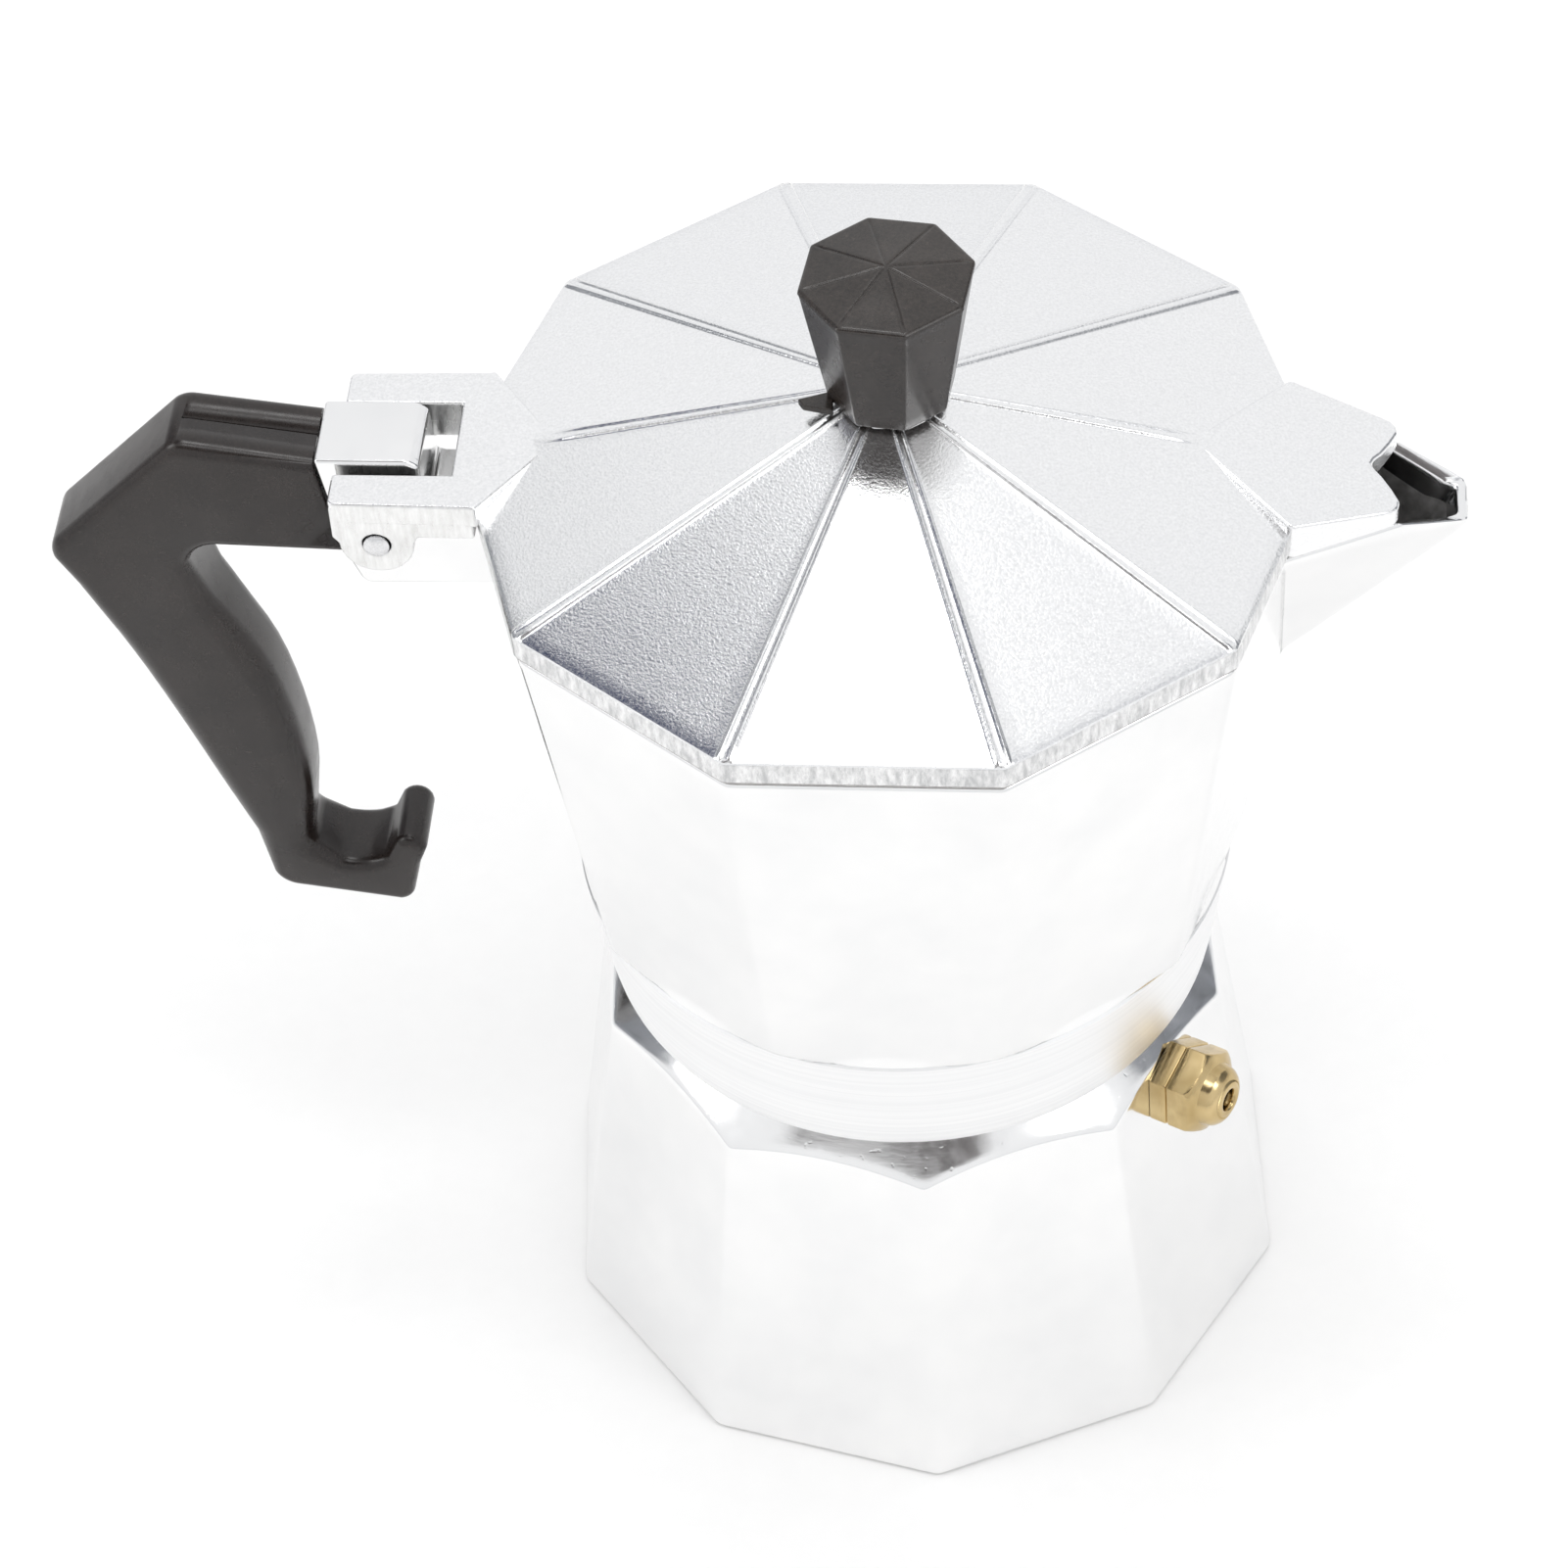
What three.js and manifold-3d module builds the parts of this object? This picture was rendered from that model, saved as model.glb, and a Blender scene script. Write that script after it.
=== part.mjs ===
// A three-cup stovetop moka pot, in millimetres, +Z up.
// Origin: centre of the boiler's underside. +X points to the spout, -X to the handle.

import * as THREE from 'three';
import { ConvexGeometry } from 'three/addons/geometries/ConvexGeometry.js';
import { mergeVertices } from 'three/addons/utils/BufferGeometryUtils.js';
import Module from 'manifold-3d';

const wasm = await Module();
wasm.setup();

// ---- driving dimensions ----

const SIDES = 10; // boiler, upper chamber and lid are ten-sided
const ROUND = 48; // facets of a large turned surface
const SMALL_ROUND = 24; // facets of pins, screws and other small round pieces
const GAP = 0.2; // clearance between pieces that touch

// boiler: corner radius at the table and where the flats end in the sloping shoulder
const BOILER_PHASE = THREE.MathUtils.degToRad(-12.78);
const BOILER_FOOT_R = 47.6;
const BOILER_TOP_R = 39.6;
const BOILER_TOP_Z = 51.2;
const BOILER_FLOOR = 3.2;
const SHOULDER_RISE = 0.76; // height gained per millimetre towards the neck
const NECK_R = 34.0;
const NECK_BORE_R = 29.4;
const NECK_TOP_Z = 69.0;

// upper chamber: round collar below, ten-sided flared body above
const COLLAR_FOOT_Z = 57.7;
const COLLAR_FOOT_R = 37.5;
const COLLAR_TOP_Z = 74.8;
const COLLAR_TOP_R = 39.6;
const COLLAR_BORE_R = 34.7;
const GASKET_SEAT_R = 33.4;
const CHAMBER_FOOT_R = 40.9; // corner radius of the flared body at the collar
const CHAMBER_RIM_R = 47.7;
const CHAMBER_RIM_Z = 131.2;
const CHAMBER_WALL = 2.4; // measured at the corners
const CHAMBER_SEAT_Z = 73.8; // underside of the floor, where the gasket presses
const CHAMBER_FLOOR_Z = 77.5;

// lid: shallow ten-sided pyramid on an upright rim
const LID_R = 48.0;
const LID_UNDER_Z = 131.5;
const LID_EDGE_Z = 135.0;
const LID_APEX_Z = 146.2;
const LID_BOSS_Z = 145.1;
const LID_SLOPE = (LID_APEX_Z - LID_EDGE_Z) / LID_R;

// hinge: pin across the back, lid fork outside, chamber bracket inside
const HINGE_X = -56.4;
const HINGE_Z = 130.6;
const PIN_R = 1.5;
const BRACKET_HALF = 4.5;
const EAR_INNER = 5.65;
const EAR_OUTER = 10.5;

// knob and handle
const KNOB_X = 0.9; // the knob stands a little towards the spout
const KNOB_FOOT_Z = 145.3;
const KNOB_FOOT_R = 7.0;
const KNOB_TOP_Z = 161.9;
const KNOB_TOP_R = 9.7;
const KNOB_APEX_Z = 163.4;
const HANDLE_HALF = 5;
const HANDLE_SCREW_X = -70;

// safety valve: its own axis is square to the boiler face that it sits on
const VALVE_Z = 48.4;
const VALVE_BEARING = THREE.MathUtils.degToRad(-30.78);
const VALVE_HEX_R = 5.75;

// ---- materials ----

function material(color, roughness, metalness) {
  return new THREE.MeshStandardMaterial({ color, roughness, metalness });
}

const aluminium = material(0xd4d6d9, 0.35, 1);
const steel = material(0xb9bcc0, 0.3, 1);
const brass = material(0xc7a463, 0.3, 1);
const bakelite = material(0x2b2726, 0.4, 0);
const silicone = material(0xe9e6de, 0.7, 0);
const fibre = material(0x9c4a34, 0.8, 0);

// ---- solids ----

// A closed geometry as a solid that can be cut and joined.
function solid(geometry) {
  geometry.deleteAttribute('normal');
  geometry.deleteAttribute('uv');
  const merged = mergeVertices(geometry, 1e-4);
  const vertProperties = new Float32Array(merged.attributes.position.array);
  const triVerts = new Uint32Array(merged.index.array);
  return new wasm.Manifold(new wasm.Mesh({ numProp: 3, vertProperties, triVerts }));
}

// A finished solid as a named mesh.
function piece(name, body, look) {
  const mesh = body.getMesh();
  const geometry = new THREE.BufferGeometry();
  geometry.setAttribute('position', new THREE.BufferAttribute(mesh.vertProperties, 3));
  geometry.setIndex(new THREE.BufferAttribute(mesh.triVerts, 1));
  const result = new THREE.Mesh(geometry, look);
  result.name = name;
  return result;
}

// A turned solid about Z; the profile is a list of [radius, height], anticlockwise.
function turned(profile, segments = ROUND) {
  const points = profile.map(([r, z]) => new THREE.Vector2(r, z));
  return solid(new THREE.LatheGeometry(points, segments).rotateX(Math.PI / 2));
}

// A round bar about Z.
function bar(radius, low, high, segments = SMALL_ROUND) {
  return turned([[0, low], [radius, low], [radius, high], [0, high]], segments);
}

// A flat ring about Z.
function ring(inner, outer, low, high, segments = ROUND) {
  const profile = [[inner, low], [outer, low], [outer, high], [inner, high], [inner, low]];
  return turned(profile, segments);
}

// A many-sided frustum about Z, given by corner radius, with one corner at the phase angle.
function frustum(sides, lowR, low, highR, high, phase = 0) {
  const geometry = new THREE.CylinderGeometry(highR, lowR, high - low, sides);
  geometry.rotateX(Math.PI / 2).rotateZ(phase + Math.PI / 2);
  return solid(geometry.translate(0, 0, (low + high) / 2));
}

function shapeOf(points) {
  return new THREE.Shape(points.map(([u, v]) => new THREE.Vector2(u, v)));
}

// An outline in X and Y, raised between two heights.
function raised(points, low, high) {
  const geometry = new THREE.ExtrudeGeometry(shapeOf(points), {
    depth: high - low,
    bevelEnabled: false,
  });
  return solid(geometry.translate(0, 0, low));
}

// An outline in X and Z, thickened between two places on Y.
function sideways(points, left, right, bevel = 0) {
  const geometry = new THREE.ExtrudeGeometry(shapeOf(points), {
    depth: right - left - 2 * bevel,
    bevelEnabled: bevel > 0,
    bevelThickness: bevel,
    bevelSize: bevel,
    bevelOffset: -bevel,
    bevelSegments: 2,
  });
  return solid(geometry.rotateX(Math.PI / 2).translate(0, right - bevel, 0));
}

// The convex body round a few corner points.
function hull(points) {
  return solid(new ConvexGeometry(points.map((p) => new THREE.Vector3(...p))));
}

// A round bar across Y through a point in X and Z.
function crossBar(radius, x, z, left, right) {
  const geometry = new THREE.CylinderGeometry(radius, radius, right - left, SMALL_ROUND);
  return solid(geometry.translate(x, (left + right) / 2, z));
}

function mirrored(points) {
  return points.concat(points.map(([x, y, z]) => [x, -y, z]));
}

// Points on an arc from one angle to another, in degrees, both ends included.
function arc(x, y, radius, from, to, steps) {
  return Array.from({ length: steps + 1 }, (_, i) => {
    const angle = THREE.MathUtils.degToRad(from + ((to - from) * i) / steps);
    return [x + radius * Math.cos(angle), y + radius * Math.sin(angle)];
  });
}

// ---- boiler ----

function boilerCorner(z) {
  return BOILER_FOOT_R + ((BOILER_TOP_R - BOILER_FOOT_R) * z) / BOILER_TOP_Z;
}

function boiler() {
  const foot = frustum(
    SIDES, BOILER_FOOT_R, 0, boilerCorner(NECK_TOP_Z), NECK_TOP_Z, BOILER_PHASE,
  );
  const neckFoot = BOILER_TOP_Z + (BOILER_TOP_R - NECK_R) * SHOULDER_RISE;
  const wide = BOILER_FOOT_R + 2;
  const envelope = turned([
    [0, 0],
    [wide, 0],
    [wide, BOILER_TOP_Z - (wide - BOILER_TOP_R) * SHOULDER_RISE],
    [NECK_R, neckFoot],
    [NECK_R, NECK_TOP_Z],
    [0, NECK_TOP_Z],
  ]);
  const cavity = turned([
    [0, BOILER_FLOOR],
    [40, BOILER_FLOOR],
    [42.2, BOILER_FLOOR + 2.2],
    [35.4, 47],
    [NECK_BORE_R, 53],
    [NECK_BORE_R, NECK_TOP_Z + 1],
    [0, NECK_TOP_Z + 1],
  ]);
  const valveHole = bar(3.7, -8, 2).transform(valveMatrix().elements);
  return foot.intersect(envelope).subtract(cavity).subtract(valveHole);
}

// ---- safety valve, drawn along its own +Z with the boiler face at zero ----

function valveMatrix() {
  const apothem = Math.cos(Math.PI / SIDES);
  const lean = Math.atan2((BOILER_FOOT_R - BOILER_TOP_R) * apothem, BOILER_TOP_Z);
  const bearing = new THREE.Matrix4().makeRotationZ(VALVE_BEARING);
  const seat = new THREE.Matrix4().makeTranslation(boilerCorner(VALVE_Z) * apothem, 0, VALVE_Z);
  const aim = new THREE.Matrix4().makeRotationY(Math.PI / 2 - lean);
  return bearing.multiply(seat).multiply(aim);
}

function valveBody() {
  const hex = frustum(6, VALVE_HEX_R, 1.3, VALVE_HEX_R, 4.9, Math.PI / 6);
  const rounding = turned([[0, 0], [5.2, 1.3], [6, 2], [6, 4.3], [5.1, 4.9], [0, 5.1]]);
  const nose = turned(
    [[0, 4.5], [4.4, 4.5], [4.4, 5.3], [5, 5.6], [5, 6.6], [4.4, 7.8], [3, 8.5], [0, 8.5]],
    36,
  );
  const shank = bar(3.6, -6.5, 1.4, 36);
  const bore = turned([[0, -7], [2.6, -7], [2.6, 6.5], [1.5, 7], [1.5, 9.5], [0, 9.5]], 36);
  return hex.intersect(rounding).add(nose).add(shank).subtract(bore);
}

function valvePiston() {
  const tip = [[0.9, -3.9], [0.9, 7], [0.6, 7.3], [0, 7.3]];
  return turned([[0, -5.3], [1.9, -5.3], [2.3, -4.9], [2.3, -3.9], ...tip], SMALL_ROUND);
}

function valveSpring() {
  const low = -3.4;
  const high = 6;
  const turns = 6;
  const radius = 1.75;
  const path = new THREE.Curve();
  path.getPoint = (t, target = new THREE.Vector3()) => {
    const angle = 2 * Math.PI * turns * t;
    return target.set(radius * Math.cos(angle), radius * Math.sin(angle), low + (high - low) * t);
  };
  const wire = shapeOf(arc(0, 0, 0.3, 0, 300, 5));
  const options = { steps: turns * 12, bevelEnabled: false, extrudePath: path };
  return solid(new THREE.ExtrudeGeometry(wire, options));
}

function safetyValve() {
  const group = new THREE.Group();
  group.add(piece('valve_body', valveBody(), brass));
  group.add(piece('valve_washer', ring(3.9, 5.3, 0.2, 1.1, 36), fibre));
  group.add(piece('valve_piston', valvePiston(), steel));
  group.add(piece('valve_spring', valveSpring(), steel));
  group.add(piece('valve_seat', ring(1.3, 2.5, -6.4, -5.5, SMALL_ROUND), brass));
  valveMatrix().decompose(group.position, group.quaternion, group.scale);
  return group;
}

// ---- coffee funnel ----

const FUNNEL_RIM_Z = NECK_TOP_Z + GAP;
const BASKET_R = 28.6;
const BASKET_FLOOR_Z = 48.6;

function funnelBasket() {
  const wall = 0.8;
  return turned([
    [6.4, 41.6],
    [7.2, 41.6],
    [BASKET_R - 1.4, BASKET_FLOOR_Z],
    [BASKET_R, BASKET_FLOOR_Z + 1.4],
    [BASKET_R, FUNNEL_RIM_Z],
    [31.8, FUNNEL_RIM_Z],
    [31.8, FUNNEL_RIM_Z + wall],
    [BASKET_R - wall, FUNNEL_RIM_Z + wall],
    [BASKET_R - wall, BASKET_FLOOR_Z + wall + 1.2],
    [BASKET_R - wall - 1.4, BASKET_FLOOR_Z + wall],
    [6.4, 41.6 + wall],
    [6.4, 41.6],
  ]);
}

// The tube's flared top is rolled into the bottom of the basket's cone.
function funnelTube() {
  return turned([
    [4.6, 7], [5.4, 7], [6.2, 40], [6.2, 43], [5.4, 43], [5.4, 40], [4.6, 7],
  ], 36);
}

// A round plate with rings of small holes.
function sieve(radius, low, high, holeR, rings, pitch) {
  const plate = new THREE.Shape();
  plate.absarc(0, 0, radius, 0, 2 * Math.PI, false);
  for (let k = 0; k <= rings; k += 1) {
    const count = Math.max(1, 6 * k);
    for (let i = 0; i < count; i += 1) {
      const angle = (2 * Math.PI * i) / count;
      const centre = [k * pitch * Math.cos(angle), k * pitch * Math.sin(angle)];
      plate.holes.push(new THREE.Path(
        arc(...centre, holeR, 0, 300, 5).map(([x, y]) => new THREE.Vector2(x, y)),
      ));
    }
  }
  const geometry = new THREE.ExtrudeGeometry(plate, {
    depth: high - low,
    bevelEnabled: false,
    curveSegments: 48,
  });
  return solid(geometry.translate(0, 0, low));
}

// ---- upper chamber ----

function chamberCorner(z) {
  const share = (z - COLLAR_TOP_Z) / (CHAMBER_RIM_Z - COLLAR_TOP_Z);
  return CHAMBER_FOOT_R + (CHAMBER_RIM_R - CHAMBER_FOOT_R) * share;
}

// The spout is a pointed beak on the front corner; inset gives the channel inside it.
function spout(inset) {
  const lift = inset > 0 ? 3 : 0;
  const keelZ = 103.7 + 2.6 * inset;
  return hull([
    ...mirrored([[44, 11.7 - 1.5 * inset, 130.9 + lift]]),
    ...mirrored([[57.1, 6.4 - 1.1 * inset, 131.9 + lift]]),
    ...mirrored([[64.9, 3 - 0.9 * inset, 129.4 + lift]]),
    ...mirrored([[64.3, 2.2 - 0.9 * inset, 127.9 + inset]]),
    [44.2 - inset, 0, keelZ],
    ...mirrored([[34, 9 - inset, 130.5 + lift], [34, 4 - inset, 112]]),
  ]);
}

// Side view of the hinge bracket behind the chamber, with its tang inside the handle.
function bracket() {
  const plate = sideways([
    [-40, 118.6],
    [-60, 118.6],
    [-61.4, 122.9],
    [-63.4, 138.1],
    [-54, 138.1],
    [-51.4, 136.6],
    [-51.4, CHAMBER_RIM_Z - 0.2],
    [-40, CHAMBER_RIM_Z - 0.2],
  ], -BRACKET_HALF, BRACKET_HALF);
  const tang = sideways(
    [[-60, 126.5], [-76, 128.5], [-76, 134.5], [-60, 134.5]], -2, 2,
  );
  const hole = bar(1.8, 120, 140).translate(HANDLE_SCREW_X, 0, 0);
  return plate.add(tang).subtract(hole);
}

function upperChamber() {
  const flared = frustum(
    SIDES, CHAMBER_FOOT_R, COLLAR_TOP_Z, CHAMBER_RIM_R, CHAMBER_RIM_Z,
  );
  const scallop = turned([
    [0, COLLAR_TOP_Z],
    [COLLAR_TOP_R, COLLAR_TOP_Z],
    [COLLAR_TOP_R + 3.6, COLLAR_TOP_Z + 4.2],
    [CHAMBER_RIM_R + 6, COLLAR_TOP_Z + 12],
    [CHAMBER_RIM_R + 6, CHAMBER_RIM_Z + 1],
    [0, CHAMBER_RIM_Z + 1],
  ]);
  const collar = turned([
    [0, COLLAR_FOOT_Z],
    [COLLAR_FOOT_R, COLLAR_FOOT_Z],
    [COLLAR_TOP_R, COLLAR_TOP_Z - 0.4],
    [COLLAR_TOP_R - 0.6, COLLAR_TOP_Z + 0.4],
    [0, COLLAR_TOP_Z + 0.4],
  ]);
  const socket = turned([
    [0, COLLAR_FOOT_Z - 1],
    [COLLAR_BORE_R, COLLAR_FOOT_Z - 1],
    [COLLAR_BORE_R, NECK_TOP_Z + 0.5],
    [GASKET_SEAT_R, NECK_TOP_Z + 0.9],
    [GASKET_SEAT_R, CHAMBER_SEAT_Z],
    [26, CHAMBER_SEAT_Z],
    [8, CHAMBER_SEAT_Z + 1.7],
    [0, CHAMBER_SEAT_Z + 1.7],
  ]);
  const cavity = frustum(
    SIDES,
    chamberCorner(CHAMBER_FLOOR_Z) - CHAMBER_WALL,
    CHAMBER_FLOOR_Z,
    chamberCorner(CHAMBER_RIM_Z + 1) - CHAMBER_WALL,
    CHAMBER_RIM_Z + 1,
  );
  return flared.intersect(scallop)
    .add(collar)
    .add(spout(0))
    .add(bracket())
    .subtract(socket)
    .subtract(cavity.add(spout(1.8)))
    .add(bar(10, CHAMBER_SEAT_Z + 3, CHAMBER_FLOOR_Z + 3, 36))
    .subtract(bar(7.3, CHAMBER_SEAT_Z, CHAMBER_FLOOR_Z + 4, 36))
    .subtract(crossBar(PIN_R + 0.05, HINGE_X, HINGE_Z, -6, 6));
}

// Riser tube that the coffee climbs, closed on top with two outlet slots below the cap.
function column() {
  const top = 118;
  const tube = turned([
    [0, 75.6], [7, 75.6], [7, CHAMBER_FLOOR_Z + 3.2], [5.2, top - 4], [3.4, top], [0, top],
  ], 36);
  const bore = turned([[0, 75], [5, 75], [3.4, top - 3], [0, top - 3]], 36);
  const slot = solid(new THREE.BoxGeometry(14, 3, 7).translate(0, 0, top - 8));
  return tube.subtract(bore).subtract(slot);
}

// ---- lid ----

// Height of the lid's panels at a distance from the centre, measured along a corner line.
function lidTop(r) {
  return LID_APEX_Z - LID_SLOPE * r;
}

// Raised strips along the corner lines, narrower towards the knob.
function ribs() {
  const from = 7;
  const to = LID_R - 0.6;
  const strip = hull(mirrored([
    [from, 0.7, lidTop(from) - 1],
    [from, 0.7, lidTop(from) + 0.4],
    [to, 1.1, lidTop(to) - 0.8],
    [to, 1.1, lidTop(to) + 0.4],
  ]));
  return Array.from({ length: SIDES }, (_, i) => strip.rotate([0, 0, (360 * i) / SIDES]));
}

// Tapered plate on the lid that covers the spout.
function spoutCover() {
  const top = (x) => 138.2 - (x - 33.5) * 0.168;
  const outline = [[33.5, 0], [44.2, 11.5], [56.2, 6.7], [53.3, 0]];
  const half = (side) => hull([
    ...outline.map(([x, y]) => [x, side * y, top(x)]),
    ...outline.map(([x, y]) => [x, side * y, x > 46 ? top(x) - 1.9 : LID_EDGE_Z - 1]),
  ]);
  return half(1).add(half(-1));
}

// Two-eared fork on the lid, ears on either side of the chamber's bracket.
function hingeFork() {
  const top = 137;
  const slotEnd = -47.9;
  const earEnd = -61.3;
  const plate = raised(
    [[-36.7, 0], [-44.8, 11], [slotEnd - 1, EAR_OUTER], [slotEnd - 1, EAR_INNER],
      [slotEnd, EAR_INNER], [slotEnd, -EAR_INNER], [slotEnd - 1, -EAR_INNER],
      [slotEnd - 1, -EAR_OUTER], [-44.8, -11]],
    LID_UNDER_Z + 0.2,
    top,
  );
  const profile = [
    [slotEnd - 0.6, top],
    [earEnd, top],
    [earEnd, 131.6],
    ...arc(HINGE_X, HINGE_Z, 4.2, 180, 360, 12),
    [HINGE_X + 4.2, 131.2],
    [slotEnd - 0.6, 131.6],
  ];
  return plate
    .add(sideways(profile, EAR_INNER, EAR_OUTER))
    .add(sideways(profile, -EAR_OUTER, -EAR_INNER))
    .subtract(crossBar(PIN_R + 0.06, HINGE_X, HINGE_Z, -12, 12));
}

function lid() {
  const rim = frustum(SIDES, LID_R, LID_UNDER_Z, LID_R, LID_EDGE_Z);
  const roof = frustum(SIDES, LID_R, LID_EDGE_Z, 4, lidTop(4));
  const boss = frustum(SIDES, 6.6, lidTop(9), 6.2, LID_BOSS_Z).translate(KNOB_X, 0, 0);
  const hollow = frustum(SIDES, 45.4, LID_UNDER_Z - 0.1, 5.6, 142.6);
  const slot = raised(
    [[-47.9, -EAR_INNER], [-47.9, EAR_INNER], [-60, EAR_INNER], [-60, -EAR_INNER]],
    LID_UNDER_Z - 1,
    LID_EDGE_Z + 4,
  );
  const shell = ribs().reduce((whole, rib) => whole.add(rib), rim.add(roof).add(boss));
  return shell
    .add(spoutCover())
    .subtract(slot)
    .add(hingeFork())
    .subtract(hollow)
    .subtract(bar(1.8, 140, 150).translate(KNOB_X, 0, 0));
}

// ---- knob ----

function knob() {
  const phase = THREE.MathUtils.degToRad(15);
  return frustum(8, KNOB_FOOT_R, KNOB_FOOT_Z, KNOB_TOP_R, KNOB_TOP_Z, phase)
    .add(frustum(8, KNOB_TOP_R, KNOB_TOP_Z, 0.4, KNOB_APEX_Z, phase))
    .subtract(bar(1.6, KNOB_FOOT_Z - 1, 156))
    .translate(KNOB_X, 0, 0);
}

function knobScrew() {
  const screw = turned([
    [0, 139.8], [2.4, 139.8], [3.2, 140.4], [3.2, 141.4], [1.5, 141.4], [1.5, 155], [0, 155],
  ], SMALL_ROUND);
  const slot = solid(new THREE.BoxGeometry(0.8, 8, 1.4).translate(0, 0, 139.8));
  return screw.subtract(slot).translate(KNOB_X, 0, 0);
}

function knobWasher() {
  return ring(1.8, 4, 141.6, 142.4, SMALL_ROUND).translate(KNOB_X, 0, 0);
}

// ---- handle ----

function handle() {
  const outline = [
    [-63.6, 137.5],
    ...arc(-78.2, 136.8, 3.1, 82, 130, 4),
    ...arc(-92.8, 122.2, 3.1, 130, 200, 5),
    [-91.9, 111.4],
    [-88.6, 102.3],
    [-85.3, 92],
    [-82, 81],
    ...arc(-74.6, 67.3, 3.6, 198, 262, 4),
    ...arc(-62.8, 63.4, 2, 275, 345, 3),
    [-59.6, 68],
    ...arc(-60.6, 70.8, 2.1, 0, 140, 4),
    ...arc(-67.4, 75.2, 7.1, 305, 255, 4),
    ...arc(-70, 72.4, 2.6, 215, 180, 2),
    [-72.4, 82],
    [-73.4, 91.7],
    [-75.6, 101.2],
    [-78.5, 109.5],
    [-80.2, 115.5],
    ...arc(-76.4, 120, 3.8, 170, 90, 4),
    [-61.9, 123.3],
  ];
  const pocket = sideways(
    [[-58, 126], [-76.4, 128.1], [-76.4, 134.9], [-58, 134.9]], -2.3, 2.3,
  );
  const counterbore = bar(3.4, 118, 125.6).add(bar(1.9, 118, 134.5)).translate(
    HANDLE_SCREW_X, 0, 0,
  );
  return sideways(outline, -HANDLE_HALF, HANDLE_HALF, 1.2)
    .subtract(pocket)
    .subtract(counterbore);
}

function handleScrew() {
  const screw = turned([
    [0, 123.4], [2.6, 123.4], [3.1, 124], [3.1, 125.4], [1.6, 125.4], [1.6, 134], [0, 134],
  ], SMALL_ROUND);
  const slot = solid(new THREE.BoxGeometry(0.8, 8, 1.4).translate(0, 0, 123.4));
  return screw.subtract(slot).translate(HANDLE_SCREW_X, 0, 0);
}

// ---- the pot ----

const pot = new THREE.Group();
pot.add(piece('boiler', boiler(), aluminium));
pot.add(safetyValve());
pot.add(piece('funnel_basket', funnelBasket(), aluminium));
pot.add(piece('funnel_tube', funnelTube(), aluminium));
pot.add(piece('funnel_sieve', sieve(25.8, 49.7, 50.4, 0.9, 3, 7), aluminium));
pot.add(piece('gasket', ring(26.6, 33.1, 70.2, 72.4), silicone));
pot.add(piece('filter_plate', sieve(29.5, 72.6, 73.5, 0.8, 4, 5.6), aluminium));
pot.add(piece('upper_chamber', upperChamber(), aluminium));
pot.add(piece('column', column(), aluminium));
pot.add(piece('hinge_pin', crossBar(PIN_R, HINGE_X, HINGE_Z, -11, 11), steel));
pot.add(piece('handle', handle(), bakelite));
pot.add(piece('handle_screw', handleScrew(), steel));
pot.add(piece('lid', lid(), aluminium));
pot.add(piece('knob', knob(), bakelite));
pot.add(piece('knob_washer', knobWasher(), steel));
pot.add(piece('knob_screw', knobScrew(), steel));

export default pot;
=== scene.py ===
"""Looks for a ten-sided stovetop moka pot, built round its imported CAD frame.

Shapes are drawn in millimetres in the frame's own axes and stored in metres.
+X points to the spout, -X to the handle and +Z up the screw axis.
"""
import itertools
import math

import bpy
import numpy as np
from mathutils import Matrix, Vector


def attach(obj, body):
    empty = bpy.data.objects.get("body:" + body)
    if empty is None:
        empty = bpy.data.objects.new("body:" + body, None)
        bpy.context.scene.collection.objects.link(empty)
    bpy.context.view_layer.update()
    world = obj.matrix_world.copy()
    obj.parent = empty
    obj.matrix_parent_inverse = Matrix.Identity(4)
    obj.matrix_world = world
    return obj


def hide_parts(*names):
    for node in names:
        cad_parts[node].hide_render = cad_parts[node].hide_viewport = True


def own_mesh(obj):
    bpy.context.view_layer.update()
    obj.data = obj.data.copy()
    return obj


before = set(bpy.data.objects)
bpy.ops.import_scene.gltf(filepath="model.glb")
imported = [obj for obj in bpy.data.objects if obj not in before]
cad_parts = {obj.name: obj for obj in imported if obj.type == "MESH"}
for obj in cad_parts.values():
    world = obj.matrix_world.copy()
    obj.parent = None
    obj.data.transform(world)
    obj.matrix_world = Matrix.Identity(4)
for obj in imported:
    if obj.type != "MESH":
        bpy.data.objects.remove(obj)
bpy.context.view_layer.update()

MM = 0.001

# ---- driving dimensions, in millimetres ----

SIDES = 10
STEP = 2 * math.pi / SIDES
APOTHEM = math.cos(math.pi / SIDES)  # of a ten-sided outline with corner radius 1

BOILER_PHASE = math.radians(-12.78)
BOILER_FOOT_R, BOILER_TOP_R, BOILER_TOP_Z = 47.6, 39.6, 51.2
SHOULDER_RISE = 0.76
NECK_R, NECK_BORE_R, NECK_TOP_Z = 34.0, 29.4, 69.0
THREAD_PITCH, THREAD_DEPTH = 2.5, 0.9

COLLAR_FOOT_Z, COLLAR_FOOT_R = 57.7, 37.5
COLLAR_TOP_Z, COLLAR_TOP_R = 74.8, 39.6
COLLAR_BORE_R, GASKET_SEAT_R, SEAT_Z = 34.7, 33.4, 73.8
CHAMBER_FOOT_R, CHAMBER_RIM_R, CHAMBER_RIM_Z = 40.9, 47.7, 131.2
CHAMBER_FLOOR_Z, CHAMBER_WALL = 77.5, 2.4
SCALLOP_SLOPE = 0.86
SPOUT_HALF_ANGLE = 0.5  # radians

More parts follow.
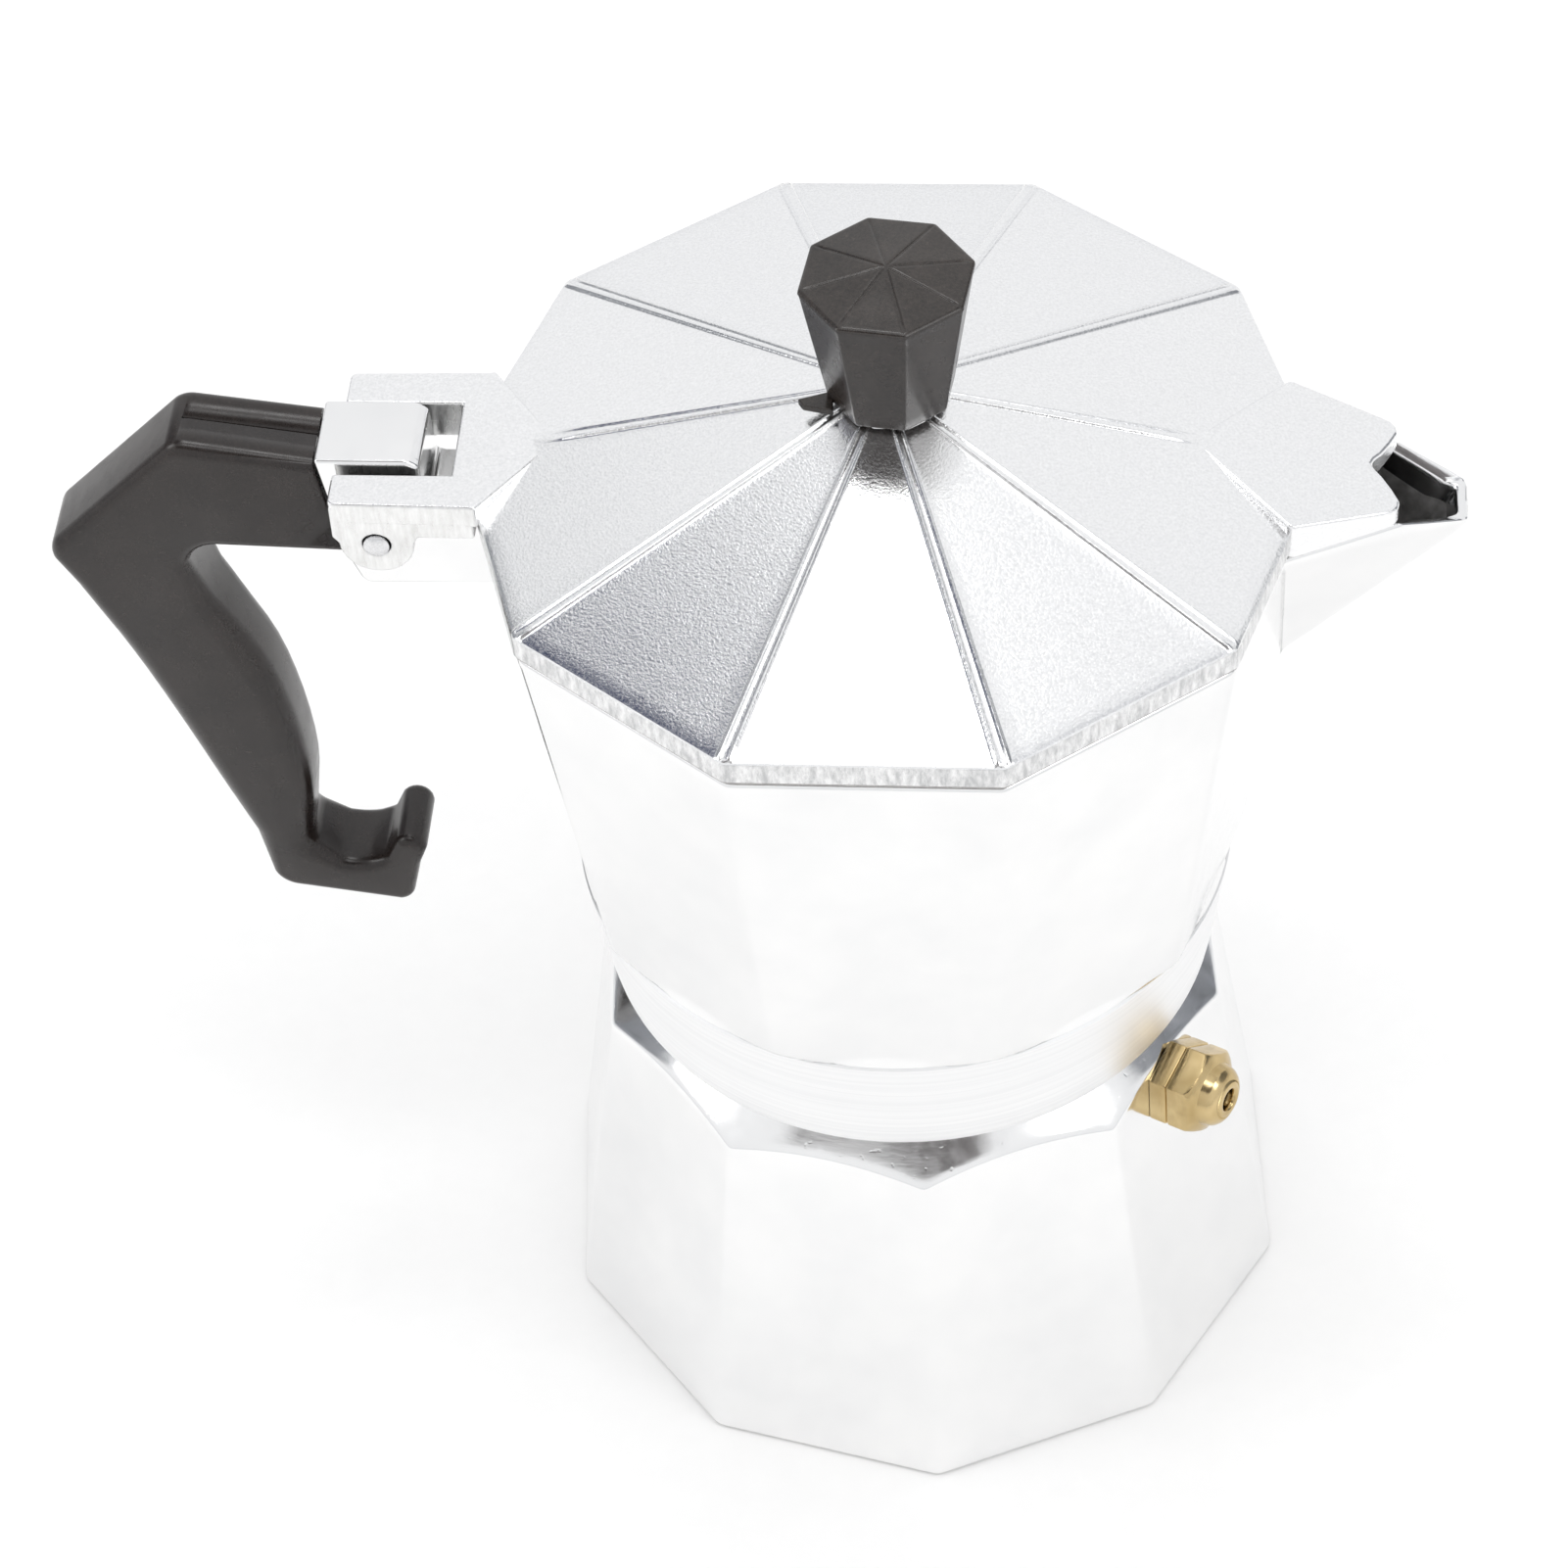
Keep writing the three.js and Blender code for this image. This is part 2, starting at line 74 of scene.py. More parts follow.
LID_R, LID_UNDER_Z, LID_EDGE_Z, LID_APEX_Z = 48.0, 131.5, 135.0, 146.2
LID_HOLLOW_R, LID_HOLLOW_Z = 45.4, 142.6
EDGE_ZONE_R = 44  # the upright edge lies further out than this
PAINTED_GAP_SHADE_HEIGHT = 0.55  # height of the dark band under the lid's rim: painted shade for the gap between lid and chamber
LID_SLOPE = (LID_APEX_Z - LID_EDGE_Z) / LID_R
LIP_ZONE_Z = 104  # from here up the collector's rows follow the lip
POLISHED_LIP = 0.9333  # share of that zone where the dull inside ends

COVER_X, FORK_X = 33.5, -36.7  # inner points of the spout cover and the hinge fork
HINGE_X, HINGE_Z = -56.4, 130.6
PIN_R = 1.5
EAR_INNER, EAR_OUTER, EAR_END = 5.65, 10.5, -61.3
EAR_INNER_X, EAR_UNDER_Z = -45.2, 131.75
FORK_UNDER_Z, FORK_TOP_Z = 134.0, 137.0
BRACKET_HALF = 4.9

KNOB_X = 0.9
KNOB_FOOT_R, KNOB_FOOT_Z = 7.0, 145.3
KNOB_TOP_R, KNOB_TOP_Z, KNOB_APEX_Z = 9.7, 161.9, 163.4
HANDLE_HALF = 5.0
GRIP_SCREW_X = -70

VALVE_BEARING = math.radians(-30.78)
VALVE_Z = 48.4
SPRING_LOW, SPRING_HIGH = -3.5, 5.8

# ---- mesh helpers ----


def new_object(name, points, faces, sharp_angle=None):
    """A mesh object from points in millimetres."""
    mesh = bpy.data.meshes.new(name)
    mesh.from_pydata([tuple(p) for p in np.asarray(points) * MM], [], faces)
    mesh.validate()
    mesh.update()
    obj = bpy.data.objects.new(name, mesh)
    bpy.context.scene.collection.objects.link(obj)
    mesh.shade_smooth()
    if sharp_angle is not None:
        mesh.set_sharp_from_angle(angle=math.radians(sharp_angle))
    return obj


def strips(count, rows, closed=False):
    """Four-sided faces between each row of points and the next."""
    faces = []
    for i in range(rows if closed else rows - 1):
        a, b = i * count, (i + 1) % rows * count
        for j in range(count):
            k = (j + 1) % count
            faces.append((a + j, a + k, b + k, b + j))
    return faces


def turned_over(faces):
    return [tuple(reversed(face)) for face in faces]


def skin(name, rows, closed=False, sharp_angle=35):
    """A solid from loops of points round Z, going up outside and down inside.

    An open skin is closed by a point at the middle of its first and last loop.
    """
    rows = [np.asarray(row, float) for row in rows]
    count = len(rows[0])
    points = np.vstack(rows)
    faces = strips(count, len(rows), closed)
    if not closed:
        first, final = len(points), len(points) + 1
        points = np.vstack([points, rows[0].mean(0), rows[-1].mean(0)])
        top = (len(rows) - 1) * count
        for j in range(count):
            k = (j + 1) % count
            faces.append((first, k, j))
            faces.append((final, top + j, top + k))
    return new_object(name, points, faces, sharp_angle=sharp_angle)


def loop(theta, radius, height):
    """One loop of points; radius and height are numbers or one value per angle."""
    radius = np.broadcast_to(radius, theta.shape)
    height = np.broadcast_to(height, theta.shape)
    return np.stack([radius * np.cos(theta), radius * np.sin(theta), height], -1)


def loops(theta, profile):
    """One round loop for each (radius, height)."""
    return [loop(theta, radius, height) for radius, height in profile]


def turned(name, profile, segments=96, sharp_angle=35):
    """A turned solid; the profile of (radius, height) runs from the axis back to it."""
    theta = np.linspace(0, 2 * math.pi, segments, endpoint=False)
    return skin(name, loops(theta, profile), sharp_angle=sharp_angle)


def turned_ring(name, profile, segments=96, sharp_angle=35):
    theta = np.linspace(0, 2 * math.pi, segments, endpoint=False)
    return skin(name, loops(theta, profile), True, sharp_angle)


def rounded(profile, radius, steps=4):
    """A profile with each inner corner replaced by a short arc-like curve."""
    points = [np.array(p, float) for p in profile]
    result = [points[0]]
    for before, here, after in zip(points, points[1:], points[2:]):
        into, out = before - here, after - here
        reach = min(radius, 0.45 * np.linalg.norm(into), 0.45 * np.linalg.norm(out))
        start = here + into / max(np.linalg.norm(into), 1e-9) * reach
        end = here + out / max(np.linalg.norm(out), 1e-9) * reach
        for t in np.linspace(0, 1, steps + 1):
            result.append((1 - t) ** 2 * start + 2 * t * (1 - t) * here + t * t * end)
    result.append(points[-1])
    return [tuple(p) for p in result]


def ring_profile(inner, outer, low, high, edge=0.2):
    """A closed profile for turned_ring, with rounded edges."""
    corners = [(inner, low), (outer, low), (outer, high), (inner, high)]
    path = [((inner + outer) / 2, low)] + corners[1:] + [corners[0], ((inner + outer) / 2, low)]
    return rounded(path, edge)[:-1]


def many_sided(theta, apothem, sides, phase, crisp=300):
    """Radius of a many-sided outline with slightly rounded corners."""
    mids = phase + (np.arange(sides) + 0.5) * 2 * math.pi / sides
    facing = np.clip(np.cos(theta[:, None] - mids), 1e-6, None)
    return apothem / (facing**crisp).sum(1) ** (1 / crisp)


def corner_columns(sides, phase, flats=10, half=3.0, turns=6):
    """Angles round Z, close together near each corner."""
    step = 2 * math.pi / sides
    half = math.radians(half)
    near = np.linspace(-half, half, 2 * turns + 1)
    flat = np.linspace(half, step - half, flats + 2)[1:-1]
    one = np.concatenate([near, flat])
    theta = (phase + np.arange(sides)[:, None] * step + one).ravel()
    return np.unique(np.round(np.mod(theta, 2 * math.pi), 7))


def soft_min(a, b, sharpness):
    return -np.logaddexp(-a * sharpness, -b * sharpness) / sharpness


def soft_max(a, b, sharpness):
    return np.logaddexp(a * sharpness, b * sharpness) / sharpness


def thread(theta, z, low, high):
    """Height of a helical thread ridge, fading in and out at its ends."""
    turn = np.mod(z / THREAD_PITCH - theta / (2 * math.pi), 1)
    ridge = np.clip(1.6 - np.abs(turn - 0.5) * 5, 0, 1)
    fade = np.clip((z - low) / 1.5, 0, 1) * np.clip((high - z) / 1.2, 0, 1)
    return ridge * fade * THREAD_DEPTH


def arc(x, y, radius, start, end, steps):
    angles = np.radians(np.linspace(start, end, steps + 1))
    return [(x + radius * math.cos(a), y + radius * math.sin(a)) for a in angles]


def slab(name, outline, low, high, edge=0.4, segments=3, upright=False):
    """An outline with thickness and rounded edges.

    A flat slab's outline is in X and Y; an upright slab's is in X and Z, thick along Y.
    """
    outline = np.array(outline, float)
    count = len(outline)
    if upright:
        lower = np.column_stack([outline[:, 0], np.full(count, high), outline[:, 1]])
        upper = np.column_stack([outline[:, 0], np.full(count, low), outline[:, 1]])
    else:
        lower = np.column_stack([outline, np.full(count, low)])
        upper = np.column_stack([outline, np.full(count, high)])
    faces = [tuple(reversed(range(count))), tuple(range(count, 2 * count))] + strips(count, 2)
    obj = new_object(name, np.vstack([lower, upper]), faces)
    soften(obj, edge, segments)
    return obj


def soften(obj, edge, segments=3):
    """Rounds the sharp edges of a piece and keeps its flats flat."""
    bevel = obj.modifiers.new("rounded_edges", "BEVEL")
    bevel.width = edge * MM
    bevel.segments = segments
    bevel.limit_method = "ANGLE"
    bevel.angle_limit = math.radians(30)
    bevel.harden_normals = True
    return obj


def cut(obj, cutter):
    """Removes the cutter's space from the piece, before its edges are rounded."""
    boolean = obj.modifiers.new("cut", "BOOLEAN")
    boolean.operation = "DIFFERENCE"
    boolean.solver = "EXACT"
    boolean.object = cutter
    bpy.context.view_layer.objects.active = obj
    with bpy.context.temp_override(object=obj, active_object=obj):
        bpy.ops.object.modifier_move_to_index(modifier="cut", index=0)
        bpy.ops.object.modifier_apply(modifier="cut")
    bpy.data.objects.remove(cutter)


def slid(obj, x):
    """The piece, moved along X."""
    obj.data.transform(Matrix.Translation((x * MM, 0, 0)))
    return obj


def round_bar(name, x, y, z, radius, length, direction, edge=0.2):
    """A round bar with eased ends, centred on a point, along a direction."""
    obj = turned(name, rounded(
        [(0, -length / 2), (radius, -length / 2), (radius, length / 2), (0, length / 2)], edge,
    ), 40)
    aim = Vector(direction).to_track_quat("Z", "Y").to_matrix().to_4x4()
    obj.data.transform(Matrix.Translation(Vector((x, y, z)) * MM) @ aim)
    return obj


# ---- boiler ----


def boiler_corner(z):
    return BOILER_FOOT_R + (BOILER_TOP_R - BOILER_FOOT_R) * z / BOILER_TOP_Z


def boiler():
    theta = corner_columns(SIDES, BOILER_PHASE, flats=16)
    outline = many_sided(theta, APOTHEM, SIDES, BOILER_PHASE)
    slope = (BOILER_TOP_R - BOILER_FOOT_R) / BOILER_TOP_Z

    def face(z):
        return outline * boiler_corner(z)

    def shoulder(z):
        return BOILER_TOP_R - (z - BOILER_TOP_Z) / SHOULDER_RISE

    # where each column's flat meets the cone of the shoulder
    meet = (BOILER_TOP_R + BOILER_TOP_Z / SHOULDER_RISE - outline * BOILER_FOOT_R) / (
        1 / SHOULDER_RISE + outline * slope
    )
    neck_foot = BOILER_TOP_Z + (BOILER_TOP_R - NECK_R) * SHOULDER_RISE
    rows = loops(theta, ((36.4, 0.5), (37.0, 0.1), (37.6, 0)))
    rows += [loop(theta, face(0) - 1.0, 0)]
    rows += [loop(theta, face(z) - inset, z)
             for z, inset in ((0.06, 0.62), (0.22, 0.3), (0.5, 0.08), (0.9, 0))]
    rows += [loop(theta, face(z), z) for z in np.linspace(2, 46, 12)]
    for offset in (-2.4, -1.2, -0.7, -0.4, -0.2, 0, 0.2, 0.4, 0.7, 1.2):
        z = meet + offset
        rows.append(loop(theta, soft_min(face(z), shoulder(z), 5), z))
    for share in (0.35, 0.6, 0.8, 0.95):
        z = (meet + 1.2) * (1 - share) + neck_foot * share
        rows.append(loop(theta, shoulder(z), z))
    for z in np.arange(neck_foot + 0.3, NECK_TOP_Z - 0.3, 0.22):
        root = NECK_R - THREAD_DEPTH
        rows.append(loop(theta, root + thread(theta, z, neck_foot + 1, NECK_TOP_Z - 0.6), z))
    rows += loops(theta, ((NECK_R - 1.0, NECK_TOP_Z - 0.25), (NECK_R - 1.3, NECK_TOP_Z)))
    inner = rounded(
        [(NECK_R - 1.6, NECK_TOP_Z), (NECK_BORE_R, NECK_TOP_Z), (NECK_BORE_R, 53.4), (35.4, 47),
         (42.2, 6.2), (40, 3.2), (0.5, 3.2)], 0.8,
    )
    rows += loops(theta, inner)
    return skin("boiler_shell", rows)


# ---- upper chamber ----


def spout_planes():
    """Outward planes, as (normal, offset), of the pointed spout's sides and keel."""
    corners = [(44.2, 0, 103.7)]
    halves = [(44, 11.7, 130.9), (57.1, 6.4, 131.9), (64.9, 3, 129.4), (64.3, 2.2, 127.9),
              (34, 9, 130.5), (34, 4, 112)]
    for x, y, z in halves:
        corners += [(x, y, z), (x, -y, z)]
    corners = np.array(corners, float)
    planes = []
    for a, b, c in itertools.combinations(corners, 3):
        normal = np.cross(b - a, c - a)
        normal /= np.linalg.norm(normal)
        offset = normal @ a
        side = corners @ normal - offset
        if side.min() > -1e-6:
            normal, offset, side = -normal, -offset, -side
        upper, inner = normal[2] > 0.6, normal[0] < -0.2
        if side.max() < 1e-6 and not upper and not inner:
            planes.append((normal, offset))
    return planes


SPOUT_PLANES = spout_planes()


def off_spout(theta):
    """Angle from the spout's middle, on either side."""
    return np.abs(np.mod(theta + math.pi, 2 * math.pi) - math.pi)


def spout_radius(theta, z, inset):
    """How far out the spout's sides reach, zero where there is no spout."""
    z = np.broadcast_to(z, theta.shape)
    far, least = 1e3, 1e-3
    reach = np.full(theta.shape, far)
    for normal, offset in SPOUT_PLANES:
        along = normal[0] * np.cos(theta) + normal[1] * np.sin(theta)
        here = (offset - inset - normal[2] * z) / np.clip(along, least, None)
        reach = soft_min(reach, np.where(along > least, here, far), 3)
    return np.where(off_spout(theta) < SPOUT_HALF_ANGLE, reach, 0)


def spout_lip(theta):
    """Height of the chamber's top edge, rising and falling along the spout."""
    bearing = np.degrees(off_spout(theta))
    return np.interp(bearing, [0, 2.6, 6.4, 14.9, 16], [129.3, 129.4, 131.9, 130.95, CHAMBER_RIM_Z])


def chamber_corner(z):
    share = (z - COLLAR_TOP_Z) / (CHAMBER_RIM_Z - COLLAR_TOP_Z)
    return CHAMBER_FOOT_R + (CHAMBER_RIM_R - CHAMBER_FOOT_R) * share


def chamber():
    theta = corner_columns(SIDES, 0, flats=12)
    fine = np.radians(np.arange(-17, 17.01, 0.2))
    theta = np.unique(np.round(np.mod(np.concatenate([theta, fine]), 2 * math.pi), 5))
    outline = many_sided(theta, APOTHEM, SIDES, 0)
    top = spout_lip(theta)

    def outside(z):
        body = outline * chamber_corner(z)
        scallop = COLLAR_TOP_R + (z - COLLAR_TOP_Z) * SCALLOP_SLOPE
        body = soft_min(body, scallop, 6)
        return soft_max(body, spout_radius(theta, z, 0), 4)

    def inside(z):
        body = outline * (chamber_corner(z) - CHAMBER_WALL)
        return soft_max(body, np.minimum(spout_radius(theta, z, 1.3), outside(z) - 1.2), 4)

    rows = loops(theta, ((35.2, COLLAR_FOOT_Z), (36.9, COLLAR_FOOT_Z), (37.3, 57.85), (37.5, 58.3)))
    for z in (60, 63, 66, 69, 72, 73.6, 74.2):
        share = (z - COLLAR_FOOT_Z) / (COLLAR_TOP_Z - COLLAR_FOOT_Z)
        rows.append(loop(theta, COLLAR_FOOT_R + (COLLAR_TOP_R - COLLAR_FOOT_R) * share, z))
    rows += loops(theta, ((39.55, 74.55), (39.32, 74.8)))
    heights = np.concatenate([np.arange(75.0, 82, 0.4), np.arange(82, 102, 2.0)])
    rows += [loop(theta, np.maximum(outside(z), 39.4 - (z - 75) * 0.25), z) for z in heights]
    for share in np.linspace(0, 1, 60)[:-1]:
        z = 102 + (top - 0.8 - 102) * share
        rows.append(loop(theta, outside(z), z))
    rows += [loop(theta, outside(top - drop) - inset, top - drop)
             for drop, inset in ((0.8, 0), (0.4, 0.12), (0.15, 0.35), (0, 0.75))]
    rows += [loop(theta, inside(top - drop) + outset, top - drop)
             for drop, outset in ((0, 0.3), (0.1, 0.1), (0.4, 0))]
    for share in np.linspace(1, 0, 46)[1:]:
        z = LIP_ZONE_Z + (top - 0.4 - LIP_ZONE_Z) * share
        rows.append(loop(theta, inside(z), z))
    rows += [loop(theta, inside(z), z) for z in np.linspace(102, CHAMBER_FLOOR_Z + 1.6, 12)]
    floor_edge = inside(CHAMBER_FLOOR_Z + 1.6)
    rows += [loop(theta, floor_edge - d, CHAMBER_FLOOR_Z + h)
             for h, d in ((0.8, 0.2), (0.3, 0.6), (0, 1.4))]
    under = rounded(
        [(14, CHAMBER_FLOOR_Z), (10.4, CHAMBER_FLOOR_Z), (9.8, CHAMBER_FLOOR_Z + 3),
         (7.3, CHAMBER_FLOOR_Z + 3), (7.3, 75.6), (9, SEAT_Z + 1.7), (26, SEAT_Z),
         (GASKET_SEAT_R, SEAT_Z), (GASKET_SEAT_R, NECK_TOP_Z + 0.9),
         (COLLAR_BORE_R + 0.6, NECK_TOP_Z + 0.5)], 0.4,
    )
    rows += loops(theta, under)
    for z in np.arange(NECK_TOP_Z, COLLAR_FOOT_Z + 0.9, -0.22):
        bore = COLLAR_BORE_R + 0.6 - 0.6 * thread(theta, z, COLLAR_FOOT_Z + 1, NECK_TOP_Z)
        rows.append(loop(theta, bore, z))
    return skin("chamber_shell", rows, closed=True)


def bracket():
    return slab("hinge_bracket", [
        (-42, 118.8), (-59.4, 118.6), (-60.2, 119.3), (-61.4, 122.9), (-63.4, 138.1),
        (-52.9, 138.1), (-51.6, 137.2), (-51.4, 131.4), (-50.6, 130.9), (-42, 130.9),
    ], -BRACKET_HALF, BRACKET_HALF, 0.6, 4, upright=True)


def tang():
    plate = slab("handle_tang", [(-60, 126.7), (-75.8, 128.6), (-75.8, 134.4), (-60, 134.4)],
                 -1.9, 1.9, 0.2, 2, upright=True)
    cut(plate, round_bar("tang_hole", GRIP_SCREW_X, 0, 130, 1.8, 14, (0, 0, 1)))
    return plate


def column():
    top = 118
    profile = [(7, 75.6), (7, 80.4), (6.9, 81), (5.2, top - 4), (4.6, top - 1.2),
               (3.2, top), (0.4, top)]
    tube = turned("coffee_column", [(0.4, 75.6)] + rounded(profile, 0.5), 64)
    bore = turned("column_bore", [(0.1, 75), (5, 75), (3.5, top - 3), (0.1, top - 3)], 48)
    cut(tube, bore)
    slot = slab("column_slot", [(-9, -1.5), (9, -1.5), (9, 1.5), (-9, 1.5)], top - 11.5, top - 4.5, 0.3)
    cut(tube, slot)
    tube.data.set_sharp_from_angle(angle=math.radians(35))
    return tube


# ---- lid ----


def lid_columns(radius, lateral):
    """Angles from one corner line to the next, following the raised strip at each end."""
    half = STEP / 2
    near = np.arcsin(np.clip(lateral / radius, 0, math.sin(half) * 0.9))
    middle = np.linspace(near[-1], half, 8)[1:]
    side = np.concatenate([near, middle])
    sector = np.concatenate([side, (STEP - side[::-1])[1:-1]])
    return (np.arange(SIDES)[:, None] * STEP + sector).ravel()


def lid_shell():
    """Thin pyramid with a double-ridged strip on each corner line."""
    lateral = np.array([0, 0.2, 0.34, 0.48, 0.6, 0.72, 0.84, 0.96, 1.15])
    ridge = np.array([0.06, 0.07, 0.12, 0.20, 0.23, 0.19, 0.09, 0.02, 0])
    phase_mid = (np.arange(SIDES) + 0.5) * STEP

    def panel_height(theta, radius):
        out = np.cos(theta[:, None] - phase_mid).max(1) * radius
        return LID_EDGE_Z + LID_SLOPE / APOTHEM * (LID_R * APOTHEM - out)

    def ridge_height(theta, radius, taper):
        across = np.abs(np.sin(np.mod(theta + STEP / 2, STEP) - STEP / 2)) * radius
        reach = radius * np.cos(theta)
        open_part = np.clip(np.minimum(COVER_X - reach, reach - FORK_X) / 1.5, 0, 1)
        shown = np.where(np.abs(np.sin(theta)) < 0.1, open_part, 1)
        return shown * np.interp(across / taper, lateral, ridge)

    rows = []
    for share in np.concatenate([[0.01, 0.06], np.linspace(0.12, 0.985, 26)]):
        radius = LID_R * share
        taper = 0.62 + 0.38 * share
        theta = lid_columns(radius, lateral * taper)
        straight = radius * APOTHEM / np.cos(np.mod(theta, STEP) - STEP / 2)
        z = panel_height(theta, straight) + ridge_height(theta, straight, taper)
        rows.append(loop(theta, straight, z))
    theta = lid_columns(LID_R, lateral)
    edge = many_sided(theta, LID_R * APOTHEM, SIDES, 0, 420)
    strip = ridge_height(theta, edge, 1.0)
    rows.append(loop(theta, edge - 0.45, LID_EDGE_Z + 0.08 + strip * 0.4))
    rows.append(loop(theta, edge - 0.2, LID_EDGE_Z - 0.02 + strip * 0.15))
    rows.append(loop(theta, edge - 0.05, LID_EDGE_Z - 0.2))
    rows += [loop(theta, edge, LID_EDGE_Z - d) for d in (0.45, 1.2, 2.0, 2.7)]
    rows += [loop(theta, edge - inset, LID_UNDER_Z + rise)
             for rise, inset in ((0.6, 0), (0.5, 0.08), (0.25, 0.14), (0, 0.45))]
    inner = many_sided(theta, APOTHEM, SIDES, 0, 200)
    foot = LID_UNDER_Z + 0.2
    rows += [loop(theta, inner * 46.2, LID_UNDER_Z), loop(theta, inner * LID_HOLLOW_R, foot)]
    for share in np.linspace(0.04, 1, 14):
        corner = LID_HOLLOW_R + (5.6 - LID_HOLLOW_R) * share
        rows.append(loop(theta, inner * corner, foot + (LID_HOLLOW_Z - foot) * share))
    rows += [loop(theta, inner * r, LID_HOLLOW_Z) for r in (3, 0.3)]
    rows.reverse()
    return skin("lid_shell", rows, sharp_angle=28)


def lid_boss():
    theta = corner_columns(SIDES, 0, flats=6)
    outline = many_sided(theta, APOTHEM, SIDES, 0, 60)
    rows = [loop(theta, outline * r, z) for r, z in
            ((0.5, 143), (6.2, 143), (6.0, 144.7), (5.8, 145.0), (5.4, 145.1), (0.5, 145.1))]
    return slid(skin("lid_boss", rows), KNOB_X)


def sloping_plate(name, outline, height, thickness, edge):
    """A plate whose height and thickness change along X."""
    corners = [(x, y, height(x)) for x, y in outline]
    corners += [(x, y, height(x) - thickness(x)) for x, y in outline]
    count = len(outline)
    faces = [tuple(range(count)), tuple(reversed(range(count, 2 * count)))]
    faces += turned_over(strips(count, 2))
    return soften(new_object(name, corners, faces), edge, 4)


def spout_cover():
    """Tapered plate over the spout, with a rounded notch at its outer end."""
    notch = [(55.4, -3.4), (54.4, -1.7), (53.6, -0.7), (53.3, 0), (53.6, 0.7), (54.4, 1.7), (55.4, 3.4)]
    side = [(38.8, -5.7), (43.9, -11.1), (44.3, -11.4), (44.9, -11.4), (54.4, -7.6), (55.5, -7.1),
            (56.15, -6.3), (56.3, -5.3)]
    outline = [(COVER_X, 0)] + side + notch + [(x, -y) for x, y in reversed(side)]

    def height(x):
        return 138.2 - (x - COVER_X) * 0.168

    def thickness(x):
        lip = max(131.45, 131.15 + (x - 44) * 0.076)
        return height(x) - (lip if x > 40 else LID_EDGE_Z - 1.4)
    return sloping_plate("spout_cover", outline, height, thickness, 0.4)


def fork_plate():
    """Two-pronged plate that carries the hinge's ears."""
    slot = -47.9
    prong = [(-44.8, 11), (-45.6, EAR_OUTER + 0.3), (EAR_END + 0.5, EAR_OUTER),
             (EAR_END, EAR_OUTER - 0.5), (EAR_END, EAR_INNER), (slot, EAR_INNER)]
    outline = [(FORK_X, 0)] + prong + [(x, -y) for x, y in reversed(prong)]
    return slab("hinge_fork", outline, FORK_UNDER_Z, FORK_TOP_Z, 0.35, 4)


def hinge_ear(name, side):
    """Ear with a round lug that the hinge pin goes through."""
    profile = [(EAR_INNER_X, FORK_TOP_Z - 0.6), (EAR_END + 0.1, FORK_TOP_Z - 0.6), (EAR_END, EAR_UNDER_Z)]
    profile += arc(HINGE_X, HINGE_Z, 4.2, 178, 362, 18) + [(-51.6, EAR_UNDER_Z), (EAR_INNER_X, EAR_UNDER_Z)]
    low, high = sorted((side * (EAR_INNER + 0.02), side * (EAR_OUTER - 0.02)))
    ear = slab(name, profile, low, high, 0.35, 4, upright=True)
    cut(ear, round_bar("ear_hole", HINGE_X, side * 8, HINGE_Z, PIN_R + 0.06, 12, (0, 1, 0)))
    return ear


# ---- knob and handle ----


def knob():
    """Eight-sided tapered knob with fine ridges on its shallow peaked top."""
    sides, phase = 8, math.radians(15)
    theta = corner_columns(sides, phase, flats=8, half=4.0)
    outline = many_sided(theta, math.cos(math.pi / sides), sides, phase, 120)
    crisp = many_sided(theta, math.cos(math.pi / sides), sides, phase, 500)
    rows = [loop(theta, outline * r, z) for r, z in ((0.5, 145.35), (6.6, 145.35), (6.95, 145.6))]
    for share in np.linspace(0.04, 0.955, 12):
        r = KNOB_FOOT_R + (KNOB_TOP_R - KNOB_FOOT_R) * share
        rows.append(loop(theta, outline * r, KNOB_FOOT_Z + (KNOB_TOP_Z - KNOB_FOOT_Z) * share))
    for r, z in ((9.72, 161.55), (9.66, 161.85), (9.45, 162.03), (9.2, 162.08)):
        rows.append(loop(theta, outline * r, z))
    across = np.abs(np.sin(np.mod(theta - phase + math.pi / sides, 2 * math.pi / sides) - math.pi / sides))
    for r in (8.9, 8.0, 7.0, 6.0, 5.0, 4.0, 3.0, 2.0, 1.2, 0.5):
        z = 162.08 + (KNOB_APEX_Z - 162.1) * (1 - r / 9.2)
        groove = 0.13 * np.exp(-((across * r / 0.16) ** 2))
        rows.append(loop(theta, crisp * r, z - groove))
    return slid(skin("knob_body", rows), KNOB_X)


def knob_flash():
    """Thin fin of moulding flash at the knob's foot."""
    return slab("knob_flash", [(-5.2, -4.4), (-8.6, -3.6), (-9.2, -2.6), (-7.2, -1.9), (-5.4, -1.2)],
                145.4, 146.3, 0.2, 2)


def smooth_through(points, steps=6):
    """Points on a Catmull-Rom curve through the given ones, ends included."""
    points = [np.array(p, float) for p in points]
    padded = [2 * points[0] - points[1]] + points + [2 * points[-1] - points[-2]]
    result = []
    for a, b, c, d in zip(padded, padded[1:], padded[2:], padded[3:]):
        for t in np.arange(steps) / steps:
            result.append(0.5 * (2 * b + (c - a) * t + (2 * a - 5 * b + 4 * c - d) * t**2
                                 + (3 * b - a - 3 * c + d) * t**3))
    result.append(points[-1])
    return [tuple(p) for p in result]


